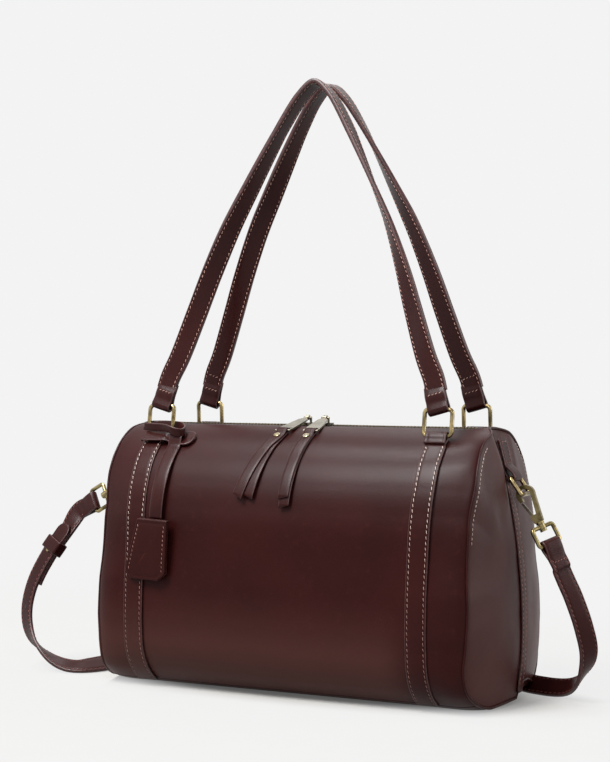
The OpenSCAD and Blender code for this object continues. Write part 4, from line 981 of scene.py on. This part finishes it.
def tagStrap():
    height = tagSet["pivotZ"] - body["axisZ"]
    angle, radius = degrees(atan2(tagSet["pivotY"], height)), hypot(tagSet["pivotY"], height)
    path = wrap(angle, radius, tagSet["x"], tagSet["foldR"], [pi * k / 10 for k in range(-2, 11)])
    turn = degrees(tagSet["drop"] / body["barrelR"])
    for k in range(1, tagSet["dropSteps"] + 1):
        f = k / tagSet["dropSteps"]
        above = (radius + tagSet["foldR"] - tagSet["restR"]) * (1 - ramp(f, *tagSet["restZone"]))
        path.append(onBarrel(angle + turn * f, tagSet["restR"] + above + tagSet["bow"] * sin(pi * f),
                             tagSet["x"] + tagSet["drift"] * f))
    return strip(path, Vector((1, 0, 0)), stripSection(tagSet["strap"], 0.05))


def tagOutline():
    top, low, high, cut = tagSet["topWide"] / 2, tagSet["lowWide"] / 2, tagSet["high"], tagSet["cut"]
    corners = [Vector(c) for c in ((-top, 0), (top, 0), (low, -high + cut), (low - cut, -high),
                                   (-low + cut, -high), (-low, -high + cut))]
    r, outline = tagSet["cornerR"], []
    for i, p in enumerate(corners):
        after = corners[(i + 1) % len(corners)]
        start = p + (corners[i - 1] - p).normalized() * r
        finish = p + (after - p).normalized() * r
        for t in (0, 0.25, 0.5, 0.75, 1):
            outline.append(start * (1 - t) ** 2 + p * (2 * t * (1 - t)) + finish * t * t)
        length = (after - p).length
        steps = int(length / tagSet["edgeStep"])
        outline += [p.lerp(after, (r + (length - 2 * r) * k / steps) / length) for k in range(1, steps)]
    return outline


def tagShape(lean):
    outline, half = tagOutline(), tagSet["thick"] / 2
    count = len(outline)
    middle = Vector((0, -tagSet["high"] * tagSet["middle"]))
    profile = tagSet["profile"]
    layers = [(s, -d) for s, d in reversed(profile[1:])] + profile
    points = []
    for s, d in layers:
        for p in (middle + (q - middle) * s for q in outline):
            bow = tagSet["bow"] * sin(pi * (-p.y / tagSet["high"]))
            points.append(lean @ Vector((p.x, -d * half - bow, p.y)))
    faces = gridFaces(len(layers), count, 0, True, True)
    faces += [list(range(count)), list(range(len(points) - 1, len(points) - count - 1, -1))]
    kinds = []
    for inner, outer in zip(layers, layers[1:]):
        kinds += [1 if inner[0] >= 1 and outer[0] >= 1 else 0] * count
    return points, faces, kinds + [0, 0]


def tagRow(lean, face, edge):  # down one side
    path = []
    for k in range(21):
        f = tagSet["sewnFrom"] + tagSet["sewnRun"] * k / 20
        half = tagSet["topWide"] / 2 + (tagSet["lowWide"] - tagSet["topWide"]) / 2 * f - tagSet["sewnInset"]
        depth = -face * tagSet["thick"] / 2 * tagSet["sewnDepth"] - tagSet["bow"] * sin(pi * f)
        path.append(lean @ Vector((edge * half, depth, -tagSet["high"] * f)))
    return stitchRow(path, Vector((0, -face, 0)), *tagSet["row"])


addLeather("tag_strap_leather", tagStrap(), strapLeather, "hanging_tag", "tag_strap")
skew = Matrix(((1, 0, tagSet["skew"], 0), (0, 1, 0, 0), (0, 0, 1, 0), (0, 0, 0, 1)))
lean = Matrix.Translation((tagSet["x"] + tagSet["drift"], tagSet["tagY"], tagSet["topZ"]))
lean = lean @ Matrix.Rotation(radians(tagSet["lean"]), 4, "Y") @ skew
tag = addLeather("hanging_tag_leather", tagShape(lean), trimLeather, "hanging_tag", "hanging_tag")
sew("hanging_tag_stitches", [tagRow(lean, face, edge) for face in (1, -1) for edge in (-1, 1)], endThread, tag)
print("tag made")


# End tabs: a folded tongue that carries the ring at each end

tabSet = {
    "width": 14.4, "thick": 1.75, "barX": 160.07, "barZ": 163.5, "foldR": 2.8, "innerR": 410.1, "outerR": 411.9,
    "outerZ": (191, 189, 187, 184, 181, 178, 175, 172.5), "innerZ": (168, 171, 174, 178, 182, 186, 190),
    "leave": [(170.4, 1.6), (167.6, 4.0)], "tipLift": 0.25, "tipZone": (184, 190),
    "sewnY": 4.9, "sewnTopZ": 189.2, "sewnLowZ": 174.2, "sewnLift": 0.12, "row": (3.1, 1.9, 0.22),
}
domeCentre = Vector((body["tipX"] - body["rakeR"], 0, body["bellyZ"]))


def onDome(z, radius, y=0.0):
    return Vector((domeCentre.x + sqrt(radius ** 2 - (z - domeCentre.z) ** 2), y, z))


def overTip(z, y=0.0, lift=0.0):
    return onDome(z, tabSet["outerR"] + lift + tabSet["tipLift"] * ramp(z, *tabSet["tipZone"]), y)


def tabPath():
    bar = Vector((tabSet["barX"], 0, tabSet["barZ"]))
    path = [overTip(z) for z in tabSet["outerZ"]]
    path += [onDome(z, tabSet["outerR"] + lift) for z, lift in tabSet["leave"]]
    path += [bar + Vector((x, 0, z)) for x, z in arc(tabSet["foldR"], 20, -20, 11)]
    return spline(path + [onDome(z, tabSet["innerR"]) for z in tabSet["innerZ"]], 3)


def tabRows(mirror):
    y, top, low = tabSet["sewnY"], tabSet["sewnTopZ"], tabSet["sewnLowZ"]
    corners = [Vector(c) for c in ((-y, top), (y, top), (y, low), (-y, low), (-y, top))]
    rows = []
    for a, b in zip(corners, corners[1:]):
        line = [a.lerp(b, k / 12) for k in range(13)]
        run = [overTip(p.y, p.x, tabSet["thick"] / 2 + tabSet["sewnLift"]) for p in line]
        ups = [mirror @ Vector((p.x - domeCentre.x, 0, p.z - domeCentre.z)) for p in run]
        rows.append(stitchRow([mirror @ p for p in run], ups, *tabSet["row"]))
    return rows


for end, name in ends:
    mirror = Matrix.Diagonal((end, 1, 1))
    shape = strip([mirror @ p for p in tabPath()], Vector((0, 1, 0)),
                  stripSection(tabSet, 0.1))
    tab = addLeather(name + "_end_tab_leather", shape, trimLeather, "bag", name + "_end_tab")
    sew(name + "_end_tab_stitches", tabRows(mirror), softThread, tab)
print("end tabs made")


# Shoulder strap: two lengths that overlap at the keeper, lying round the back of the bag

strapSet = {
    "width": 15.4, "thick": 2.8, "halfOut": 248.0, "back": 106.0, "ringZ": 163.5, "fold": 18.0, "start": 9.9,
    "lap": 2.95, "tip": 30.0, "tipLeast": 0.4, "hookLength": 88.0,
    "inset": 1.8, "pitch": 3.8, "long": 2.3, "thread": 0.25,
    "steps": 8, "easing": 14, "held": 20, "foldStrip": {"width": 15.3, "thick": 1.9}, "foldR": 2.85,
    "leg": [(2.3, -3.5), (1.5, -6.5), (0.7, -9.5), (0.2, -12.5), (0, -15.5)],
    "endRow": (2.8, 1.8, 0.25, 20), "endRowReach": 5.6, "endRowLift": 0.15,
    "holes": [104.0, 135.0], "holeD": 2.6, "holeRim": [(1.25, 0.1), (1.0, 0.16), (0.8, 0.02)], "holeSides": 20,
    # rows give the place as shares of halfOut, barrelR and ringZ, then the direction across the strap
    "left": [[-0.911, -0.106, 0.66, 0.6, -0.45, -0.6], [-0.956, -0.212, 0.538, 0.74, -0.45, -0.42],
             [-0.988, -0.318, 0.404, 0.86, -0.45, -0.2], [-0.996, -0.397, 0.269, 0.88, -0.46, 0.05],
             [-0.968, -0.477, 0.165, 0.8, -0.58, 0.16], [-0.905, -0.54, 0.088, 0.5, -0.84, -0.05],
             [-0.832, -0.556, 0.03, 0.3, -0.86, -0.3], [-0.762, -0.48, 0, 0.4, -0.76, -0.45],
             [-0.71, -0.106, 0, 0.72, -0.33, -0.6], [-0.694, 0.397, 0, 0.5, 0, -0.85], [-0.677, 1, 0, 0.2, 0, -1]],
    "behind": [[-0.605, 0.47], [-0.423, 0.85], [-0.161, 1], [0.141, 0.9], [0.383, 0.57], [0.556, 0.19]],
    "right": [[0.54, 1, 0, -0.5, -0.3, -0.8], [0.565, 0.747, 0, -0.4, -0.5, -0.75],
              [0.621, 0.56, 0, -0.3, -0.62, -0.72], [0.69, 0.47, 0, -0.2, -0.66, -0.72],
              [0.765, 0.41, 0.035, -0.15, -0.68, -0.72],
              [0.826, 0.255, 0.116, -0.4, -0.6, -0.7], [0.855, 0.155, 0.226, -0.55, -0.75, -0.35],
              [0.847, 0.079, 0.355, -0.58, -0.78, -0.2], [0.822, 0.04, 0.477, -0.55, -0.8, -0.24],
              [0.79, 0.013, 0.593, -0.5, -0.83, -0.26]],
}
hookEnd = {  # the middle of each swivel ring's lower bar, how the hook leans and turns
    "left": {"x": 203.789, "z": 132.532, "lean": 60, "turn": 75, "mirror": -1},
    "right": {"x": 187.24, "z": 116.699, "lean": 28, "turn": 34, "mirror": 1},
}


def placeHook(which):
    spot = hookEnd[which]
    lean = Matrix.Rotation(-radians(spot["lean"]), 4, "Y") @ Matrix.Rotation(-radians(spot["turn"]), 4, "Z")
    return Matrix.Diagonal((spot["mirror"], 1, 1, 1)) @ Matrix.Translation((spot["x"], 0, spot["z"])) @ lean


def hookRows(which):
    # Two places below the hook, nearest first, and the direction across the strap
    place = placeHook(which)
    across = place.to_3x3() @ Vector((0, 1, 0)) * -1
    return [(place @ Vector((0, 0, -strapSet[k])), across) for k in ("start", "fold")]


def strapRoute():
    def spot(r):
        place = Vector((r[0] * strapSet["halfOut"], r[1] * body["barrelR"], r[2] * strapSet["ringZ"]))
        return place, Vector(r[3:6]).normalized()
    rows = hookRows("left") + [spot(r) for r in strapSet["left"]]
    rows += [(Vector((a * strapSet["halfOut"], body["barrelR"] + b * strapSet["back"], 0)), Vector((0, 0, -1)))
             for a, b in strapSet["behind"]]
    rows += [spot(r) for r in strapSet["right"]] + hookRows("right")[::-1]
    route, floors = [], []
    sides = [side.normalized() for side in spline([side for _, side in rows], strapSet["steps"])]
    for p, side in zip(spline([p for p, _ in rows], strapSet["steps"]), sides):
        flat = sqrt(max(0.0, 1 - side.z ** 2))
        floors.append(strapSet["width"] / 2 * abs(side.z) + strapSet["thick"] / 2 * flat + 0.1)
        route.append(Vector((p.x, p.y, max(p.z, floors[-1]))))
    for _ in range(strapSet["easing"]):  # ease the bends where the strap meets the floor
        heights = [p.z for p in route]
        for i in range(strapSet["held"], len(route) - strapSet["held"]):
            route[i].z = max(floors[i], (heights[i - 1] + heights[i + 1]) / 2)
    return route, [square(side, heading(route, i)) for i, side in enumerate(sides)]


route, sides = strapRoute()
lengths = [strapSet["start"] + s for s in arcLengths(route)]
ups = [heading(route, i).cross(side) for i, side in enumerate(sides)]


def indexAt(length):
    return sum(1 for s in lengths if s < length)


def overlap(i):  # the long strap lies over the short one and comes down beyond it
    return route[i] + ups[i] * strapSet["lap"] * ramp(lengths[i], 2 * strapSet["hookLength"], strapSet["hookLength"])


def foldStrip(which):
    # Round the lower bar of the swivel ring, both legs sewn together below it
    place = placeHook(which)
    rough = strapSet["leg"][::-1] + arc(strapSet["foldR"], 10, 20, 9) + [(-x, z) for x, z in strapSet["leg"]]
    path = [place @ p for p in spline([Vector((x, 0, z)) for x, z in rough], 3)]
    return strip(path, place.to_3x3() @ Vector((0, 1, 0)), stripSection(strapSet["foldStrip"]))


def holeRims():
    # Each hole is painted shade: a dark disc and pressed rim in one dark finish, with no opening cut
    shapes, count = [], strapSet["holeSides"]
    for far in strapSet["holes"]:
        i = indexAt(far)
        ahead = heading(route, i)
        for face in (1, -1):
            points = []
            for share, lift in strapSet["holeRim"]:
                middle, r = overlap(i) + ups[i] * face * (strapSet["thick"] / 2 + lift), share * strapSet["holeD"] / 2
                turns = [2 * pi * q / count for q in range(count)]
                points += [middle + (sides[i] * cos(a) + ahead * sin(a)) * r for a in turns]
            floor = [len(points) - count + q for q in range(count)]
            faces = gridFaces(len(strapSet["holeRim"]), count, 0, face > 0, True)
            shapes.append((points, faces + [floor if face < 0 else floor[::-1]], []))
    return merged(shapes)


first, hookLast = indexAt(strapSet["tip"]), indexAt(strapSet["hookLength"])
section = stripSection(strapSet)
tip = [(s - lengths[first]) / strapSet["width"] * 2 for s in lengths[first:]]
outer = strip([overlap(i) for i in range(first, len(route))], sides[first:], section,
              [max(strapSet["tipLeast"], rounded(share)) for share in tip])
strap = addLeather("shoulder_strap_leather", merged([outer, foldStrip("right")]), strapLeather,
                   "shoulder_strap", "shoulder_strap")
rows = edgeStitches(outer[3], strapSet, (1,), 6, -1)
rows += edgeStitches(outer[3], strapSet, (-1,), hookLast - first + 4, -1)
p, across, up = outer[3][-5]
for face in (1, -1):
    rows.append(crossStitches(p + up * face * (strapSet["thick"] / 2 + strapSet["endRowLift"]), across, up * face,
                              strapSet["endRowReach"], strapSet["endRow"]))
sew("shoulder_strap_stitches", rows, softThread, strap)
addPiece("shoulder_strap_holes", holeRims(), [paintedHoleShade], None, parent=strap)

inner = strip(route[:hookLast], sides[:hookLast], section)
hookStrap = addLeather("hook_strap_leather", merged([inner, foldStrip("left")]), strapLeather,
                       "shoulder_strap", "hook_strap")
sew("hook_strap_stitches", edgeStitches(inner[3], strapSet, first=1, last=-1), softThread, hookStrap)

keeperSet = {"at": 52.0, "halfWide": 9.15, "halfHigh": 4.2, "cornerR": 1.3, "width": 11.0, "thick": 1.35, "step": 2.0}


def keeper():
    at, r = indexAt(keeperSet["at"]), keeperSet["cornerR"]
    centre = route[at] + ups[at] * (strapSet["lap"] / 2)
    across, up = keeperSet["halfWide"] - r, keeperSet["halfHigh"] - r
    corners = []
    for u, v, start in ((across, up, 0), (-across, up, 90), (-across, -up, 180), (across, -up, 270)):
        corners += [Vector(p) for p in arc(r, start, 18, 6, (u, v))]
    path = []
    for a, b in zip(corners, corners[1:] + corners[:1]):
        steps = max(1, int((b - a).length / keeperSet["step"]))
        path += [a.lerp(b, k / steps) for k in range(steps)]
    path = [centre + sides[at] * p.x + ups[at] * p.y for p in path]
    return strip(path, heading(route, at), stripSection(keeperSet, 0.08), closed=True)


addLeather("strap_keeper_leather", keeper(), strapLeather, "strap_keeper", "strap_keeper")
print("strap made")


# CAD metal and cloth keep their shapes and get a finish

bothSides = ("left_", "right_")
finishes = {
    ringBrass: [a + b + "ring" for a in ("front_", "rear_") for b in bothSides] + [a + "end_ring" for a in bothSides],
    hookBrass: [a + b for a in bothSides for b in ("snap_hook", "swivel_ring")] + ["strap_stud"],
    sliderBronze: [a + b for a in bothSides for b in ("slider", "hook_gate")],
    pullNickel: [a + "pull_plate" for a in bothSides],
    rivetBrass: [a + "pull_rivet" for a in bothSides],
    toothBrass: ["front_zip_teeth", "rear_zip_teeth"],
    tapeCloth: ["front_zip_tape", "rear_zip_tape"],
    boardCloth: ["base_board"],
}
for material, names in finishes.items():
    for name in names:
        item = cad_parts[name]
        item.data.materials.clear()
        item.data.materials.append(material)
print("metal finished")


# Studio: pale floor, plain soft light, camera at the photograph's angle

studio = {
    "background": "f3f3f3", "world": (1.0, 0.985, 0.97, 1), "worldLevel": 0.26,
    "floorSize": 6.0, "paper": ("a5a39e", "a9a7a2"),
    # how much of the lit floor is covered by plain background: near the bag, around it and far off
    "nearShow": 0.1, "floorShow": 0.9, "nearZone": (0.05, 0.09), "farZone": (0.2, 0.6), "longShare": 0.36,
    "camera": (0.6185, -1.2217, 0.2609), "azimuth": 27.22, "down": 1.2, "roll": -0.22, "lens": 84.8,
    "lamps": [  # (place, aim, size, watts)
        ((-0.5, -1.3, 2.05), (0.0, 0.0, 0.14), (0.8, 0.9), 88.0),
        ((0.75, -1.7, 1.5), (0.1, 0.0, 0.15), (0.5, 0.7), 10.0),
        ((1.9, 0.7, 0.9), (0.1, 0.0, 0.12), (1.0, 1.4), 25.0),
        ((-0.3, 1.3, 1.7), (0.0, 0.0, 0.2), (1.2, 0.8), 9.0),
        ((-0.6, 0.05, 2.0), (0.05, 0.0, 0.15), (0.5, 0.4), 20.0),
        ((-1.5, -1.0, 0.8), (-0.1, 0.0, 0.1), (0.7, 1.1), 3.0),
    ],
}


def shownBackground(graph):  # 1 for camera, glossy and transmission rays
    names = ("Is Camera Ray", "Is Glossy Ray", "Is Transmission Ray")
    camera, glossy, through = (graph.node("LightPath", out=name) for name in names)
    return graph.maths("MAXIMUM", camera, graph.maths("MAXIMUM", glossy, through))


def finishStage(graph, output, factor, lit, shown):
    graph.node(output, None, {"Surface": graph.node("MixShader", None, {0: factor, 1: lit, 2: shown})})


world = bpy.data.worlds.new("studio")
scene.world = world
world.use_nodes = True
world.node_tree.nodes.clear()
graph = Link(world.node_tree)
lit = graph.node("Background", None, {"Color": studio["world"], "Strength": studio["worldLevel"]})
shown = graph.node("Background", None, {"Color": rgb(studio["background"]), "Strength": 1.0})
finishStage(graph, "OutputWorld", shownBackground(graph), lit, shown)

made, graph = newMaterial("studio floor")
place = graph.place()
paper = place.noise(40.0).between(0.3, 0.7)
diffuse = graph.node("BsdfDiffuse", None, {"Color": graph.mix(paper, *studio["paper"])})
glow = graph.node("Emission", None, {"Color": rgb(studio["background"]), "Strength": 1.0})
away = graph.node("VectorMath", {"operation": "LENGTH"}, {0: place.scaled((studio["longShare"], 1.0, 1.0))}, 1)
show = studio["nearShow"] + away.between(*studio["nearZone"]) * (studio["floorShow"] - studio["nearShow"])
show = show + away.between(*studio["farZone"]) * (1.0 - studio["floorShow"])
finishStage(graph, "OutputMaterial", shownBackground(graph) * show, diffuse, glow)
half = studio["floorSize"] / 2
floorMesh = bpy.data.meshes.new("floor")
floorMesh.from_pydata([(-half, -half, 0), (half, -half, 0), (half, half, 0), (-half, half, 0)], [], [(0, 1, 2, 3)])
floorMesh.materials.append(made)
floorPlane = bpy.data.objects.new("floor", floorMesh)
scene.collection.objects.link(floorPlane)

for i, (spot, aim, size, watts) in enumerate(studio["lamps"]):
    data = bpy.data.lights.new("lamp" + str(i + 1), "AREA")
    data.shape = "RECTANGLE"
    data.size, data.size_y = size
    data.energy = watts
    light = bpy.data.objects.new(data.name, data)
    light.location = spot
    light.rotation_euler = (Vector(aim) - Vector(spot)).to_track_quat("-Z", "Y").to_euler()
    scene.collection.objects.link(light)

cameraData = bpy.data.cameras.new("camera")
cameraData.lens = studio["lens"]
cameraData.sensor_width = 36.0
cameraData.clip_start, cameraData.clip_end = 0.05, 30.0
camera = bpy.data.objects.new("camera", cameraData)
az, el, roll = (radians(studio[k]) for k in ("azimuth", "down", "roll"))
ahead = Vector((-sin(az) * cos(el), cos(az) * cos(el), -sin(el)))
right = Vector((cos(az), sin(az), 0))
up = right.cross(ahead)
right, up = right * cos(roll) + up * sin(roll), up * cos(roll) - right * sin(roll)
pose = Matrix((right, up, -ahead)).transposed().to_4x4()
pose.translation = studio["camera"]
camera.matrix_world = pose
scene.collection.objects.link(camera)
scene.camera = camera
scene.view_settings.view_transform = "Standard"
print("studio set")
